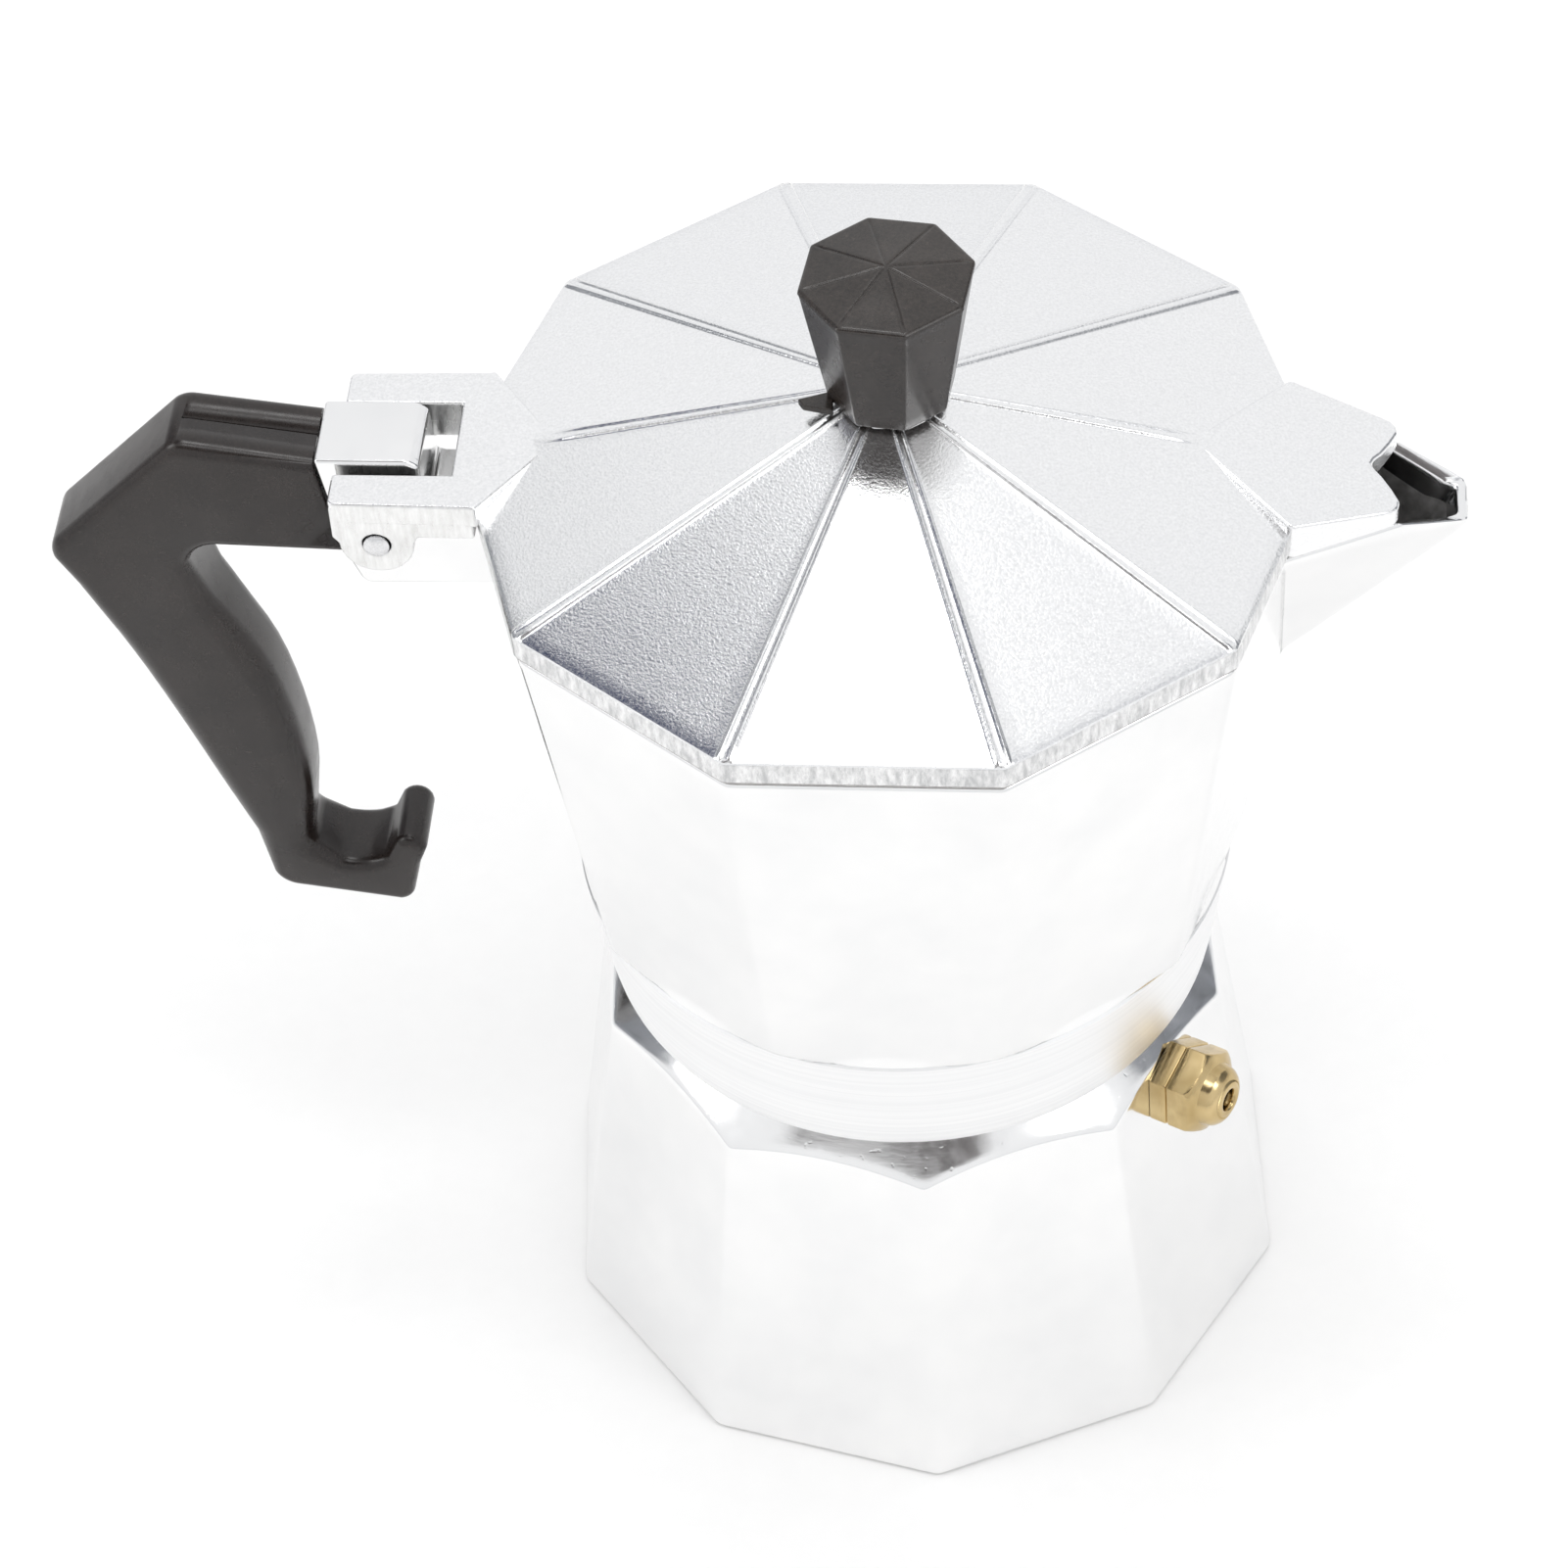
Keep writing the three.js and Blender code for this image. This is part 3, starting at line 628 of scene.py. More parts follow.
def handle_outline():
    back = [(-94.9, 119.9), (-91.9, 111.4), (-88.6, 102.3), (-85.3, 92), (-82, 81), (-78.2, 69)]
    grip = [(-72.3, 74.2), (-71.3, 82), (-71.7, 91.7), (-73.3, 101.2), (-76.4, 109.5), (-79.4, 116.2)]
    return (
        [(-63.6, 137.5)]
        + arc(-78.2, 136.8, 3.1, 82, 130, 8)
        + arc(-92.8, 122.2, 3.1, 130, 196, 10)
        + smooth_through(back, 3)[1:-1]
        + arc(-74.6, 67.3, 3.6, 198, 262, 8)
        + arc(-62.8, 63.4, 2, 275, 345, 6)
        + [(-59.6, 68)]
        + arc(-60.6, 70.8, 2.1, 0, 140, 8)
        + arc(-67.4, 75.2, 7.1, 303, 255, 8)
        + arc(-70, 72.4, 2.6, 225, 180, 5)
        + smooth_through(grip, 3)[1:-1]
        + arc(-76.4, 120, 3.8, 170, 90, 8)
        + [(-61.9, 123.3)]
    )


def rounded_slab(name, outline, half, rounding, steps=7):
    """An upright slab with its own edge rounding at each point.

    The outline's first and last points stay on its flat end.
    """
    outline = np.array(outline, float)
    ahead = np.roll(outline, -1, 0) - outline
    ahead /= np.linalg.norm(ahead, axis=1, keepdims=True)
    tangent = ahead + np.roll(ahead, 1, 0)
    tangent /= np.linalg.norm(tangent, axis=1, keepdims=True)
    inward = np.column_stack([-tangent[:, 1], tangent[:, 0]])
    inward[0], inward[-1] = (0, -1), (0, 1)
    turns = np.linspace(0, math.pi / 2, steps)
    sections = [(half - rounding * (1 - math.sin(t)), rounding * (1 - math.cos(t))) for t in turns]
    front = [(-depth, inset) for depth, inset in reversed(sections)]
    points = []
    for depth, inset in front + sections:
        flat = outline + inward * inset[:, None]
        points.append(np.column_stack([flat[:, 0], depth, flat[:, 1]]))
    count, rows = len(outline), len(points)
    faces = [tuple(range(count)), tuple(reversed(range((rows - 1) * count, rows * count)))]
    faces += turned_over(strips(count, rows))
    return new_object(name, np.vstack(points), faces, sharp_angle=40)


def handle():
    """Moulded grip: softer edges down the grip than along the arm and at the hook's tip."""
    outline = np.array(handle_outline())
    x, z = outline.T
    inner_side = x > -94.9 + (119.9 - z) * 0.328 + 5
    soft = np.where(inner_side, 3.0, 2.8)
    by_height = np.interp(z, [67, 73, 108, 121], [0, 1, 1, 0.25])
    by_reach = np.interp(x, [-71, -65], [1, 0.1])
    rounding = 1.2 + (soft - 1.2) * np.minimum(by_height, by_reach)
    body = rounded_slab("handle_grip", outline, HANDLE_HALF, rounding)
    groove = slab("parting_groove", [(-60, 137.55), (-78.6, 140.35), (-78.6, 139.5), (-60, 136.6)],
                  -0.16, 0.16, 0.01, 1, upright=True)
    cut(body, groove)
    cut(body, slab("tang_pocket", [(-58, 126.2), (-76.2, 128.2), (-76.2, 134.8), (-58, 134.8)],
                   -2.2, 2.2, 0.01, 1, upright=True))
    cut(body, round_bar("screw_recess", GRIP_SCREW_X, 0, 122.6, 3.4, 6, (0, 0, 1)))
    cut(body, round_bar("screw_hole", GRIP_SCREW_X, 0, 127, 1.9, 14, (0, 0, 1)))
    body.data.shade_smooth()
    body.data.set_sharp_from_angle(angle=math.radians(40))
    return body


def slotted_screw(name, x, head_r, shank_r, head_z, neck_z, end_z):
    """A screw that points up, with a driver slot in its head."""
    profile = [(0.1, head_z), (head_r - 0.7, head_z), (head_r, head_z + 0.6), (head_r, neck_z),
               (shank_r, neck_z), (shank_r, end_z - 0.6), (shank_r - 0.5, end_z), (0.1, end_z)]
    obj = turned(name, rounded(profile, 0.2), 40)
    slot = slab("driver_slot", [(-0.4, -5), (0.4, -5), (0.4, 5), (-0.4, 5)],
                head_z - 0.7, head_z + 0.7, 0.01, 1)
    cut(obj, slot)
    obj.data.set_sharp_from_angle(angle=math.radians(35))
    return slid(obj, x)


# ---- safety valve ----


def valve_frame():
    """Matrix of the valve: its Z axis stands square to the boiler's face."""
    lean = math.atan((BOILER_FOOT_R - BOILER_TOP_R) * APOTHEM / BOILER_TOP_Z)
    face = boiler_corner(VALVE_Z) * APOTHEM
    place = Vector((face * math.cos(VALVE_BEARING), face * math.sin(VALVE_BEARING), VALVE_Z))
    axis = Vector((
        math.cos(lean) * math.cos(VALVE_BEARING), math.cos(lean) * math.sin(VALVE_BEARING), math.sin(lean),
    ))
    return Matrix.Translation(place * MM) @ axis.to_track_quat("Z", "Y").to_matrix().to_4x4()


def in_valve(obj):
    obj.data.transform(valve_frame())
    return obj


def valve_body():
    """Grooved hexagon whose end is turned to a blunt cone with a deep central hole."""
    theta = corner_columns(6, math.radians(20), flats=8, half=3.5)
    hexagon = many_sided(theta, math.cos(math.pi / 6), 6, math.radians(20), 160) * 5.75
    rows = loops(theta, ((2.6, -6.5), (3.3, -6.5), (3.6, -6.2)))
    for w in np.arange(-6.1, 1.0, 0.12):
        rows.append(loop(theta, 3.25 + 0.35 * abs(math.sin(w * math.pi)), w))
    rows += loops(theta, ((3.6, 1.15), (4.6, 1.2), (4.78, 1.1), (4.78, 0.3)))
    for w, inset in ((0.03, 0.14), (0.1, 0.05), (0.25, 0), (2.2, 0), (2.35, 0.06), (2.42, 0.22),
                     (2.58, 0.22), (2.65, 0.06), (2.8, 0), (3.6, 0), (4.4, 0)):
        rows.append(loop(theta, hexagon - inset, w))
    for w in np.linspace(4.6, 8.3, 24):
        cone = np.interp(w, [5.0, 5.5, 6.0, 6.2, 7.3, 7.9, 8.3], [5.75, 5.35, 4.5, 4.05, 3.7, 3.2, 2.4])
        rows.append(loop(theta, soft_min(hexagon, np.full(theta.shape, cone), 30), w))
    hole = rounded([(2.4, 8.3), (2.0, 8.48), (1.5, 8.45), (1.3, 8.0), (1.3, 6.3), (2.6, 6.2),
                    (2.6, -6.4)], 0.2)
    rows += loops(theta, hole)
    return in_valve(skin("valve_shell", rows, closed=True, sharp_angle=32))


def valve_washer():
    return in_valve(turned_ring("valve_sealing_washer", ring_profile(3.9, 4.7, 0.2, 1.1, 0.2), 64))


def valve_piston():
    profile = [(0.1, -5.3), (2.3, -5.3), (2.3, -3.9), (0.9, -3.9), (0.9, 7.3), (0.1, 7.3)]
    return in_valve(turned("valve_stem", rounded(profile, 0.25), 40))


def valve_seat():
    return in_valve(turned_ring("valve_retaining_ring", ring_profile(1.35, 2.45, -6.35, -5.55, 0.15), 40))


def valve_spring():
    """Round wire wound into an open coil, with closed ends."""
    turns, coil_r, wire_r, low, high, sides = 6, 1.75, 0.28, SPRING_LOW, SPRING_HIGH, 10
    steps = turns * 24
    share = np.linspace(0, 1, steps + 1)
    angle = share * turns * 2 * math.pi
    height = low + (high - low) * share
    rise = (high - low) / (turns * 2 * math.pi)
    points = []
    for a, w in zip(angle, height):
        out = np.array((math.cos(a), math.sin(a), 0))
        along = np.array((-math.sin(a) * coil_r, math.cos(a) * coil_r, rise))
        up = np.cross(along / np.linalg.norm(along), out) * -1
        for k in range(sides):
            turn = 2 * math.pi * k / sides
            points.append(out * (coil_r + wire_r * math.cos(turn)) + (0, 0, w) + up * wire_r * math.sin(turn))
    faces = strips(sides, steps + 1)
    faces.append(tuple(reversed(range(sides))))
    faces.append(tuple(range(steps * sides, (steps + 1) * sides)))
    return in_valve(new_object("valve_coil", points, faces))


# ---- funnel, seal and filter ----


def pierced_disc(name, radius, low, high, rings, pitch, hole_r):
    """A thin round plate with rings of small round holes."""
    curve = bpy.data.curves.new(name, "CURVE")
    curve.dimensions = "2D"
    curve.fill_mode = "BOTH"
    curve.extrude = (high - low) / 2 * MM
    circles = [(0, 0, radius, 96), (0, 0, hole_r, 10)]
    for ring in range(1, rings + 1):
        count = 6 * ring
        for k in range(count):
            a = 2 * math.pi * (k + 0.5 * (ring % 2)) / count
            circles.append((ring * pitch * math.cos(a), ring * pitch * math.sin(a), hole_r, 10))
    for x, y, r, count in circles:
        spline = curve.splines.new("POLY")
        spline.points.add(count - 1)
        spline.use_cyclic_u = True
        for k, point in enumerate(spline.points):
            a = 2 * math.pi * k / count
            point.co = ((x + r * math.cos(a)) * MM, (y + r * math.sin(a)) * MM, 0, 1)
    source = bpy.data.objects.new(name, curve)
    bpy.context.scene.collection.objects.link(source)
    bpy.context.view_layer.update()
    mesh = bpy.data.meshes.new_from_object(source.evaluated_get(bpy.context.evaluated_depsgraph_get()))
    bpy.data.objects.remove(source)
    mesh.transform(Matrix.Translation((0, 0, (low + high) / 2 * MM)))
    obj = bpy.data.objects.new(name, mesh)
    bpy.context.scene.collection.objects.link(obj)
    weld = obj.modifiers.new("weld", "WELD")
    weld.merge_threshold = 1e-6
    return obj


def funnel_basket():
    """Drawn sheet cup with a rolled rim and a cone down to the tube."""
    profile = [
        (5.75, 41.6), (7.2, 41.6), (26.6, 48.0), (28.6, 50), (28.6, 69.2), (31.8, 69.2), (31.8, 70),
        (27.8, 70), (27.8, 50.6), (26.4, 49.1), (6.6, 43.2), (5.75, 43.2),
    ]
    path = [(6.4, 41.6)] + profile[1:] + [profile[0], (6.4, 41.6)]
    return turned_ring("basket_shell", rounded(path, 0.7, 5)[:-1], 128)


def funnel_tube():
    path = [(5, 7), (5.35, 7), (5.35, 43), (4.65, 43), (4.65, 7), (5, 7)]
    return turned_ring("siphon_tube", rounded(path, 0.25)[:-1], 64)


def gasket():
    return turned_ring("rubber_seal", ring_profile(26.7, 33.0, 70.25, 72.35, 0.6), 128)


def knob_washer():
    return slid(turned_ring("screw_washer", ring_profile(2.3, 4, 141.62, 142.38, 0.15), 48), KNOB_X)


def hinge_pin():
    """Plain pin with slightly domed, eased ends."""
    profile = [(0.1, -10.95), (0.9, -10.93), (1.45, -10.6), (1.45, 10.6), (0.9, 10.93), (0.1, 10.95)]
    obj = turned("lid_pin", profile, 40)
    turn = Vector((0, 1, 0)).to_track_quat("Z", "X").to_matrix().to_4x4()
    obj.data.transform(Matrix.Translation((HINGE_X * MM, 0, HINGE_Z * MM)) @ turn)
    return obj


# ---- materials ----


class Nodes:
    """Short names for building one node material."""

    def __init__(self, name):
        self.material = bpy.data.materials.new(name)
        self.material.use_nodes = True
        self.tree = self.material.node_tree
        self.shader = self.tree.nodes["Principled BSDF"]
        self.place = self.tree.nodes.new("ShaderNodeTexCoord").outputs["Object"]

    def node(self, kind, inputs=None, **settings):
        made = self.tree.nodes.new("ShaderNode" + kind)
        for key, value in settings.items():
            setattr(made, key, value)
        for key, value in (inputs or {}).items():
            if isinstance(value, bpy.types.NodeSocket):
                self.tree.links.new(value, made.inputs[key])
            else:
                made.inputs[key].default_value = value
        return made

    def stretched(self, scale):
        return self.node("Mapping", {"Vector": self.place, "Scale": scale}).outputs[0]

    def noise(self, scale, detail=3.0, rough=0.55, place=None):
        inputs = {"Vector": place or self.place, "Scale": scale, "Detail": detail, "Roughness": rough}
        return self.node("TexNoise", inputs).outputs["Fac"]

    def spread(self, value, to_low, to_high, low=0.3, high=0.7):
        """The value's range from low to high, stretched over another range."""
        made = self.node("MapRange", {
            "Value": value, "From Min": low, "From Max": high, "To Min": to_low, "To Max": to_high,
        })
        return made.outputs["Result"]

    def add(self, a, b):
        return self.node("Math", {0: a, 1: b}, operation="ADD").outputs[0]

    def tint(self, value, dark, light):
        ramp = self.node("ValToRGB", {"Fac": value})
        ramp.color_ramp.elements[0].color = (*dark, 1)
        ramp.color_ramp.elements[1].color = (*light, 1)
        return ramp.outputs["Color"]

    def bump(self, height, distance, strength=1.0, before=None):
        inputs = {"Height": height, "Distance": distance * MM, "Strength": strength}
        if before:
            inputs["Normal"] = before
        return self.node("Bump", inputs).outputs["Normal"]

    def set(self, **values):
        for key, value in values.items():
            socket = self.shader.inputs[key.replace("_", " ")]
            if isinstance(value, bpy.types.NodeSocket):
                self.tree.links.new(value, socket)
            else:
                socket.default_value = value
        return self.material

    def metal(self, colour, rough, normal):
        return self.set(Base_Color=colour, Roughness=rough, Metallic=1.0, Normal=normal)


def polished_aluminium():
    """Buffed casting: cloudy gloss, faint pits and fine polishing lines."""
    n = Nodes("polished_aluminium")
    cloud = n.noise(75, 4, 0.6)
    fine = n.noise(520, 3, 0.5)
    lines = n.noise(260, 2, 0.6, n.stretched((1, 1, 9)))
    pits = n.spread(n.noise(900, 2, 0.5), 0, 1, 0.66, 0.74)
    colour = n.tint(n.spread(cloud, 0, 1), (0.868, 0.87, 0.873), (0.925, 0.924, 0.922))
    rough = n.add(n.spread(cloud, 0.11, 0.15), n.spread(fine, -0.02, 0.04, 0.35, 0.65))
    normal = n.bump(lines, 0.012, 0.3)
    normal = n.bump(cloud, 0.03, 0.2, normal)
    normal = n.bump(pits, -0.03, 0.2, normal)
    return n.metal(colour, rough, normal)


def marked_metal(name, noise, stretch, seen, colours, roughness, bump):
    """Metal whose colour, roughness and height follow one pattern of marks."""
    n = Nodes(name)
    marks = n.noise(*noise, n.stretched(stretch))
    colour = n.tint(n.spread(marks, 0, 1, *seen), *colours)
    return n.metal(colour, n.spread(marks, *roughness), n.bump(marks, *bump))


def dull_casting_and_painted_gap_shade():
    """Unpolished casting for the collector's inside, also put on the lid's lower edge as painted shade for
    the gap between lid and chamber.
    """
    return marked_metal("dull_casting_and_painted_gap_shade", (700, 4, 0.6), (1, 1, 1), (0.3, 0.7),
                        ((0.34, 0.33, 0.325), (0.52, 0.51, 0.50)), (0.42, 0.55), (0.05, 0.4))


def turned_aluminium():
    """Lathe-cut bands round the collar."""
    n = Nodes("turned_aluminium")
    bands = n.noise(1400, 2, 0.7, n.stretched((0.004, 0.004, 1)))
    cloud = n.noise(60, 3)
    colour = n.tint(n.spread(bands, 0, 1), (0.88, 0.882, 0.886), (0.95, 0.95, 0.95))
    rough = n.spread(cloud, 0.40, 0.50)
    normal = n.bump(bands, 0.02, 0.4)
    return n.metal(colour, rough, normal)


def satin_aluminium():
    """Fine blasted casting on the lid, with tiny bright grains."""
    n = Nodes("satin_aluminium")
    grain = n.noise(3200, 3, 0.6)
    cloud = n.noise(45, 3)
    colour = n.tint(n.spread(grain, 0, 1, 0.3, 0.72), (0.85, 0.853, 0.858), (0.975, 0.975, 0.977))
    rough = n.add(n.spread(grain, 0.15, 0.24), n.spread(cloud, -0.02, 0.02))
    normal = n.bump(grain, 0.04, 0.7)
    normal = n.bump(cloud, 0.06, 0.2, normal)
    return n.metal(colour, rough, normal)


def ground_rim():
    """The lid's edge, ground upright: short marks that cross it."""
    return marked_metal("ground_rim", (1300, 4, 0.7), (1, 1, 0.3), (0.35, 0.65),
                        ((0.52, 0.525, 0.53), (0.88, 0.88, 0.88)), (0.2, 0.34), (0.03, 0.4))


def filed_sides():
    """Hinge sides, lightly filed: faint upright marks on a pale skin."""
    n = Nodes("filed_sides")
    marks = n.noise(1700, 3, 0.6, n.stretched((1, 1, 0.2)))
    cloud = n.noise(220, 3)
    shade = n.add(n.spread(marks, 0, 0.6, 0.35, 0.65), n.spread(cloud, 0, 0.4, 0.35, 0.65))
    colour = n.tint(shade, (0.70, 0.70, 0.69), (0.90, 0.90, 0.895))
    return n.metal(colour, n.spread(marks, 0.24, 0.36), n.bump(marks, 0.02, 0.35))


def sheet_aluminium():
    """Rolled or turned sheet with a soft gloss."""
    return marked_metal("sheet_aluminium", (700, 3, 0.6), (1, 1, 4), (0.3, 0.7),
                        ((0.70, 0.71, 0.72), (0.84, 0.84, 0.85)), (0.24, 0.36), (0.02, 0.4))


def bright_steel():
    """Drawn or turned steel with fine lines."""
    return marked_metal("bright_steel", (1600, 2, 0.6), (3, 0.2, 3), (0.3, 0.7),
                        ((0.66, 0.66, 0.67), (0.82, 0.82, 0.83)), (0.18, 0.3), (0.02, 0.4))


def turned_brass():
    """Machined brass with fine tool marks and faint clouds of tone."""
    n = Nodes("turned_brass")
    marks = n.noise(1500, 3, 0.6)
    cloud = n.noise(260, 2)
    colour = n.tint(n.spread(cloud, 0, 1), (0.46, 0.335, 0.155), (0.66, 0.51, 0.27))
    return n.metal(colour, n.spread(marks, 0.14, 0.26), n.bump(marks, 0.02, 0.5))


def black_phenolic(name, dark, light, specular):
    """Warm black moulded plastic with a faint orange-peel and pale flecks."""
    n = Nodes(name)
    peel = n.noise(420, 3, 0.5)
    grain = n.noise(2600, 2, 0.6)
    flecks = n.spread(n.noise(1500, 2, 0.5), 0, 1, 0.68, 0.76)
    smudge = n.spread(n.noise(130, 4, 0.65), -0.25, 0.3, 0.35, 0.7)
    shade = n.add(n.spread(grain, 0.1, 0.7), n.add(flecks, smudge))
    colour = n.tint(shade, dark, light)
    normal = n.bump(peel, 0.03, 0.2)
    normal = n.bump(grain, 0.01, 0.3, normal)
    return n.set(Base_Color=colour, Roughness=n.spread(peel, 0.20, 0.30), Normal=normal,
                 Specular_IOR_Level=specular)


def soft_matt(name, dark, light):
    """Matt, fine-grained skin for the rubber seal and the fibre washer."""
    n = Nodes(name)
    grain = n.noise(900, 3, 0.6)
    colour = n.tint(n.spread(grain, 0, 1), dark, light)
    return n.set(Base_Color=colour, Roughness=n.spread(grain, 0.5, 0.62), Normal=n.bump(grain, 0.03, 0.4))


# ---- putting the pieces on the frame ----


def dress(obj, body, look, *nodes):
    """Puts a piece on its body with its look's material and hides the CAD parts it replaces."""
    material, slot = look
    obj.data.materials.clear()
    obj.data.materials.append(material)
    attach(obj, body)
    if nodes:
        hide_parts(*nodes)
    return obj


def dress_bottom(metal, brass, steel, sheet, fibre):
    dress(boiler(), "boiler", metal, "boiler")
    dress(valve_body(), "boiler", brass, "valve_body")
    dress(valve_washer(), "boiler", fibre, "valve_washer")
    dress(valve_piston(), "valve_piston", steel, "valve_piston")
    dress(valve_seat(), "boiler", brass, "valve_seat")
    coil = dress(valve_spring(), "boiler", steel, "valve_spring")
    seat = valve_frame()
    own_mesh(coil)
    dress(funnel_basket(), "funnel", sheet, "funnel_basket")
    dress(funnel_tube(), "funnel", sheet, "funnel_tube")
    sieve = pierced_disc("basket_sieve", 25.8, 49.75, 50.35, 6, 3.7, 0.55)
    dress(sieve, "funnel", sheet, "funnel_sieve")


def file_sides(obj, material):
    """Gives the sides that face along Y the look of filed metal."""
    obj.data.materials.append(material)
    for face in obj.data.polygons:
        if abs(face.normal.y) > 0.9:
            face.material_index = 1


def dress_top(metal, collar, inner, sheet, steel, phenolic, rubber):
    dress(gasket(), "gasket", rubber, "gasket")
    plate = pierced_disc("filter_disc", 29.5, 72.65, 73.45, 8, 3.3, 0.42)
    dress(plate, "filter", sheet, "filter_plate")
    shell = dress(chamber(), "chamber", metal, "upper_chamber")
    shell.data.materials.append(collar)
    shell.data.materials.append(inner)
    for face in shell.data.polygons:
        height = face.center.z * 1000
        outward = face.normal.xy.dot(face.center.xy) > 0
        if height < COLLAR_TOP_Z and outward:
            face.material_index = 1
        elif COLLAR_TOP_Z < height and not outward:
            lip = float(spout_lip(math.atan2(face.center.y, face.center.x)))
            if (height - LIP_ZONE_Z) / (lip - 0.4 - LIP_ZONE_Z) < POLISHED_LIP:
                face.material_index = 2
    dress(bracket(), "chamber", metal)
    dress(tang(), "chamber", metal)
    dress(column(), "chamber", sheet, "column")
    dress(hinge_pin(), "chamber", steel, "hinge_pin")
    dress(handle(), "chamber", phenolic, "handle")
    screw = slotted_screw("grip_screw", GRIP_SCREW_X, 3.2, 1.7, 122.9, 125.4, 135.5)
    dress(screw, "chamber", steel, "handle_screw")


def dress_lid(satin, rim, dull_and_painted_gap_shade, filed, phenolic, steel):
    shell = dress(lid_shell(), "lid", satin, "lid")
    shell.data.materials.append(rim)
    shell.data.materials.append(dull_and_painted_gap_shade)
    for face in shell.data.polygons:
        height = face.center.z * 1000
        at_edge = face.center.xy.length > EDGE_ZONE_R * MM and height < LID_EDGE_Z
        # The lowest band of the lid's edge takes the dark dull material: painted shade for the gap between
        # lid and chamber.
        if at_edge and height < LID_UNDER_Z + PAINTED_GAP_SHADE_HEIGHT:
            face.material_index = 2
        elif at_edge and abs(face.normal.z) < 0.3:
            face.material_index = 1
    for piece in (lid_boss(), spout_cover()):
        dress(piece, "lid", satin)
    file_sides(dress(fork_plate(), "lid", satin), filed)
    for side, name in ((1, "hinge_ear_left"), (-1, "hinge_ear_right")):
        file_sides(dress(hinge_ear(name, side), "lid", satin), filed)
    dress(knob(), "lid", phenolic, "knob")
    dress(knob_flash(), "lid", phenolic)
    dress(knob_washer(), "lid", steel, "knob_washer")
    screw = slotted_screw("knob_fixing_screw", KNOB_X, 3.2, 2, 139.85, 141.4, 155.5)
    dress(screw, "lid", steel, "knob_screw")


# ---- floor, light and camera ----


def rectangle(name, half_w, half_h, height, material):
    corners = [(-half_w, -half_h, height), (half_w, -half_h, height),
               (half_w, half_h, height), (-half_w, half_h, height)]
    obj = new_object(name, corners, [(0, 1, 2, 3)])
    obj.data.materials.append(material)
    return obj


def floor():
    """Pale, wide sheet just under the pot, faintly mottled like paper."""
    n = Nodes("paper_floor")
    fibre = n.noise(300, 3)
    colour = n.tint(fibre, (0.935, 0.93, 0.922), (0.975, 0.97, 0.96))
    n.set(Base_Color=colour, Roughness=n.spread(fibre, 0.75, 0.85))
    rectangle("floor", 4000, 4000, -0.2, n.material)


def area_light(name, place, aim, width, height, power):
    data = bpy.data.lights.new(name, "AREA")
    data.shape = "RECTANGLE"
    data.size, data.size_y, data.energy = width, height, power
    light = bpy.data.objects.new(name, data)
    light.location = place
    light.rotation_euler = (Vector(aim) - Vector(place)).to_track_quat("-Z", "Y").to_euler()
    bpy.context.scene.collection.objects.link(light)
    light.visible_camera = False


def flag(name, place, aim, width, height, shade, turn=0):
    """A matt board that metal reflects and the camera doesn't see."""
    n = Nodes(name)
    patches = n.spread(n.noise(9, 2), 0, 1, 0.35, 0.65)
    dark, light = (tuple(channel * part for channel in shade) for part in (0.5, 1.5))
    n.set(Base_Color=n.tint(patches, dark, light), Roughness=0.9)
    board = rectangle(name, width / 2 / MM, height / 2 / MM, 0, n.material)
    board.location = place
    spin = Matrix.Rotation(math.radians(turn), 3, "Z")
    facing = (Vector(aim) - Vector(place)).to_track_quat("Z", "Y").to_matrix()
    board.rotation_euler = (facing @ spin).to_euler()
    board.visible_camera = False
    board.visible_diffuse = False
    board.visible_shadow = False


def grey_world(low, high):
    """Even studio surroundings, a little darker towards the ground."""
    world = bpy.data.worlds.new("studio")
    bpy.context.scene.world = world
    world.use_nodes = True
    tree = world.node_tree
    place = tree.nodes.new("ShaderNodeTexCoord")
    split = tree.nodes.new("ShaderNodeSeparateXYZ")
    ramp = tree.nodes.new("ShaderNodeValToRGB")
    tree.links.new(place.outputs["Generated"], split.inputs[0])
    tree.links.new(split.outputs["Z"], ramp.inputs["Fac"])
    ramp.color_ramp.elements[0].color = low
    ramp.color_ramp.elements[1].position = 0.3
    ramp.color_ramp.elements[1].color = high
    tree.links.new(ramp.outputs["Color"], tree.nodes["Background"].inputs["Color"])


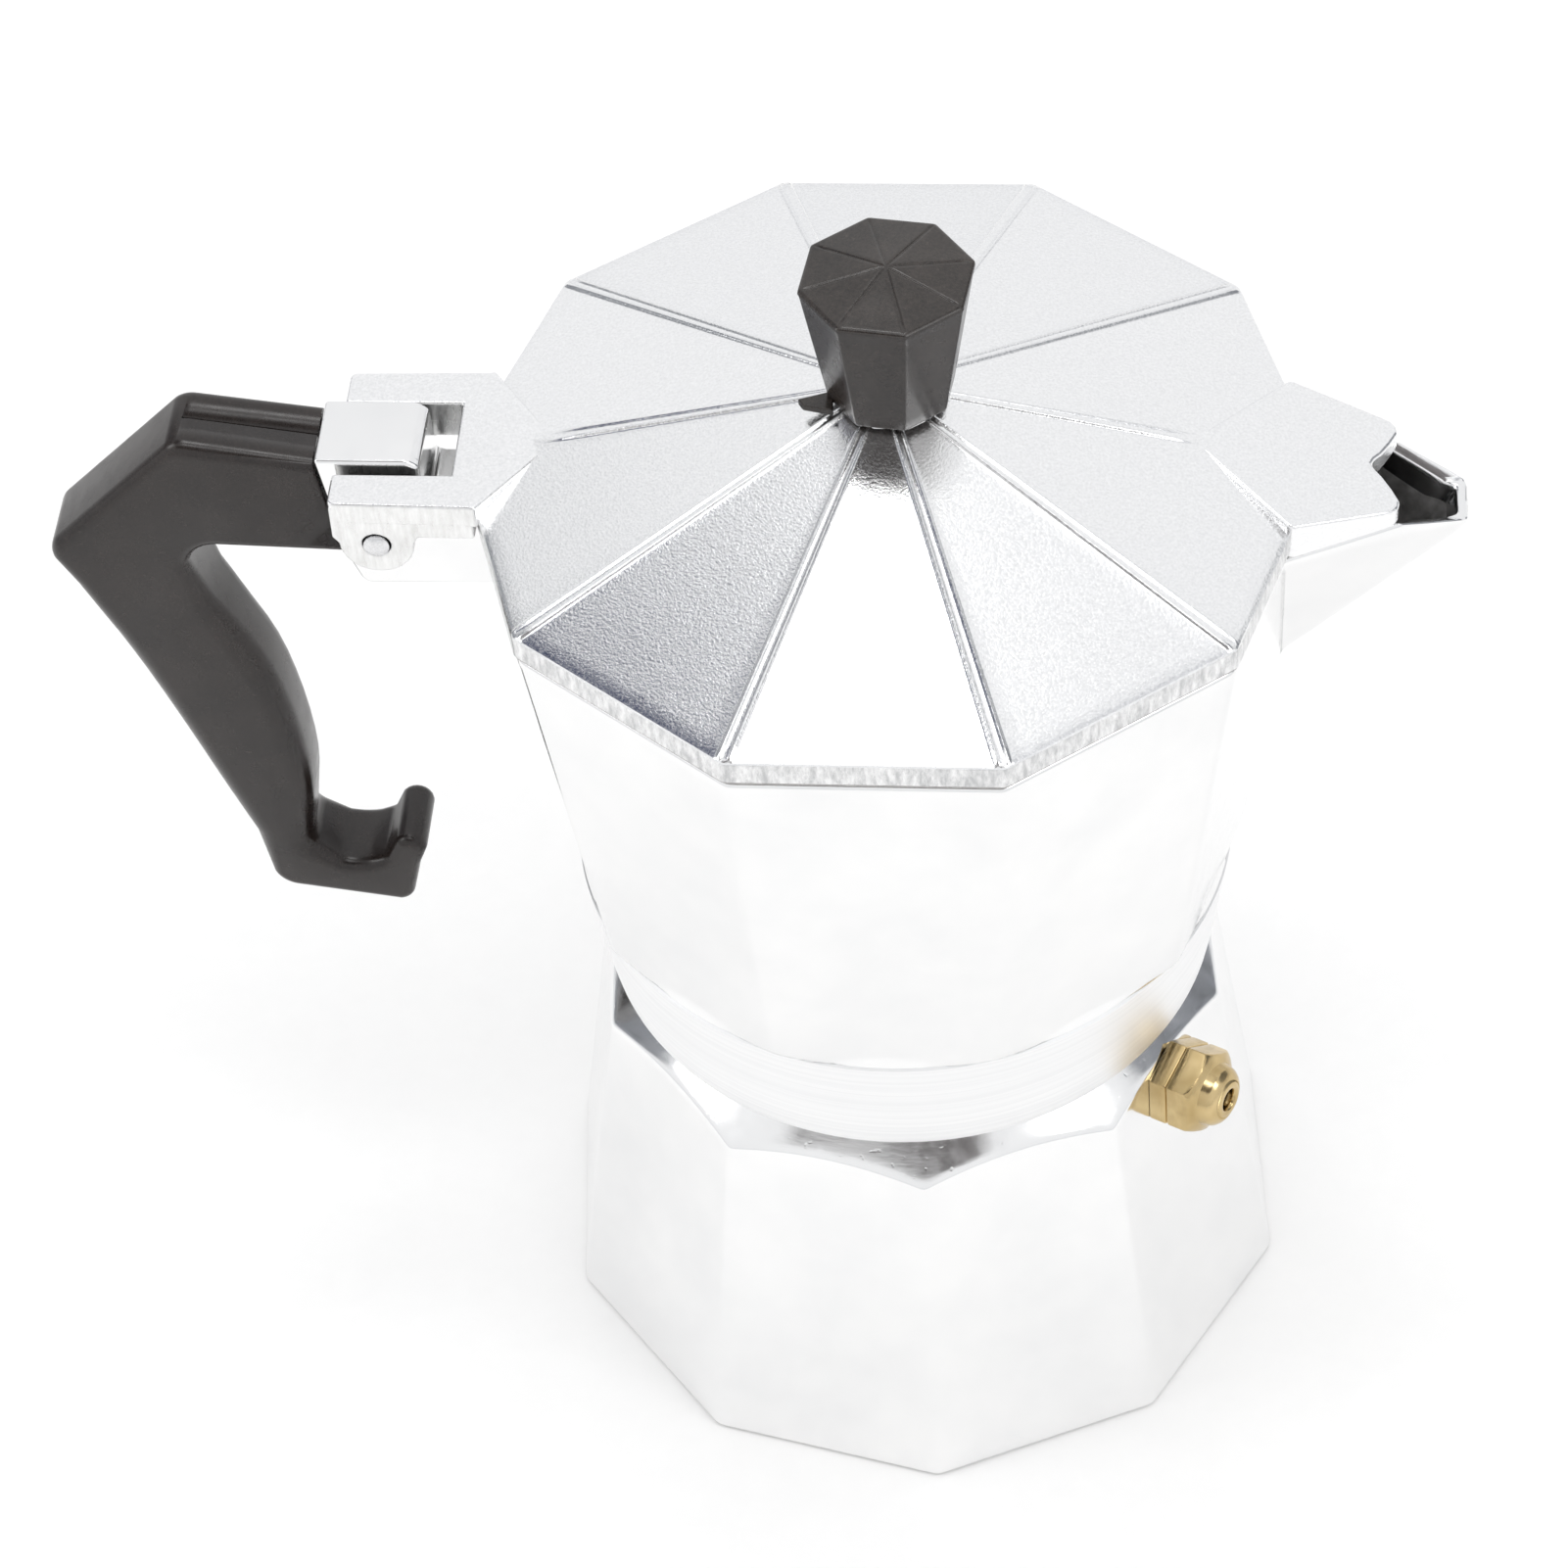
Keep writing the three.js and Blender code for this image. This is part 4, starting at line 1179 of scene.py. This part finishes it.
def studio():
    """White room: a soft box on each side, two small lights above, and boards for contrast."""
    grey_world((0.80, 0.81, 0.83, 1), (0.93, 0.935, 0.945, 1))
    middle = (0, 0, 0.1)
    area_light("soft_box_left", (-0.96, -0.18, 0.92), middle, 0.34, 0.5, 1.8)
    area_light("soft_box_right", (0.72, -0.36, 1.08), middle, 0.36, 0.5, 1.9)
    area_light("top_fill", (0.0, -0.22, 1.3), middle, 0.36, 0.2, 0.8)
    area_light("overhead", (-0.055, 0.235, 1.1), (-0.055, 0.235, 0), 0.24, 0.24, 0.9)
    flag("ceiling_board_left", (-0.585, 0.185, 1.1), (-0.585, 0.185, 0), 0.5, 0.5, (0.012, 0.022, 0.075), 45)
    flag("ceiling_board_right", (0.50, 0.11, 1.1), (0.50, 0.11, 0), 0.30, 0.34, (0.56, 0.57, 0.60), -42)
    flag("camera_board", (-0.08, -0.52, 0.92), middle, 0.9, 0.34, (0.13, 0.12, 0.12))
    flag("side_board_left", (-1.02, 0.40, 0.62), middle, 1.0, 0.75, (0.22, 0.23, 0.25))
    flag("side_board_right", (1.02, 0.40, 0.62), middle, 1.0, 0.75, (0.22, 0.23, 0.25))


def camera():
    """Long lens from high up in front of the pot, placed in units of the lid's radius."""
    azimuth, elevation, roll = (math.radians(angle) for angle in (7.56, 48.913, -4.67))
    aim = Vector((-0.3009, 0, 1.6506)) * LID_R * MM
    distance = 10.9538 * LID_R * MM
    level = Vector((math.sin(azimuth), -math.cos(azimuth), 0)) * math.cos(elevation)
    back = level + Vector((0, 0, math.sin(elevation)))
    right = back.cross(Vector((0, 0, -1))).normalized()
    up = back.cross(right)
    across = right * math.cos(roll) + up * math.sin(roll)
    rise = up * math.cos(roll) - right * math.sin(roll)
    data = bpy.data.cameras.new("camera")
    data.lens, data.sensor_width = 100.0, 36.0
    data.clip_start, data.clip_end = 0.01, 20
    eye = bpy.data.objects.new("camera", data)
    turn = Matrix((across, rise, back)).transposed().to_4x4()
    eye.matrix_world = Matrix.Translation(aim + back * distance) @ turn
    bpy.context.scene.collection.objects.link(eye)
    bpy.context.scene.camera = eye


def build():
    metal = (polished_aluminium(), "cast_aluminium")
    sheet = (sheet_aluminium(), "sheet_aluminium")
    steel = (bright_steel(), "steel")
    filed, dull_and_painted_gap_shade = filed_sides(), dull_casting_and_painted_gap_shade()
    brass = (turned_brass(), "valve_brass")
    grip_black = black_phenolic("handle_phenolic", (0.009, 0.006, 0.0052), (0.027, 0.020, 0.0175), 0.5)
    knob_black = black_phenolic("knob_phenolic", (0.011, 0.008, 0.0065), (0.042, 0.033, 0.028), 0.6)
    seal = (soft_matt("silicone_seal", (0.52, 0.51, 0.47), (0.66, 0.65, 0.61)), "silicone")
    fibre = (soft_matt("fibre_washer", (0.25, 0.20, 0.13), (0.38, 0.31, 0.21)), "fibre_washer")
    satin = (satin_aluminium(), "lid_aluminium")
    dress_bottom(metal, brass, steel, sheet, fibre)
    dress_top(metal, turned_aluminium(), dull_and_painted_gap_shade, sheet, steel, (grip_black, "bakelite"), seal)
    dress_lid(satin, ground_rim(), dull_and_painted_gap_shade, filed, (knob_black, "bakelite"), steel)


build()
floor()
studio()
camera()
bpy.context.scene.view_settings.view_transform = "Standard"
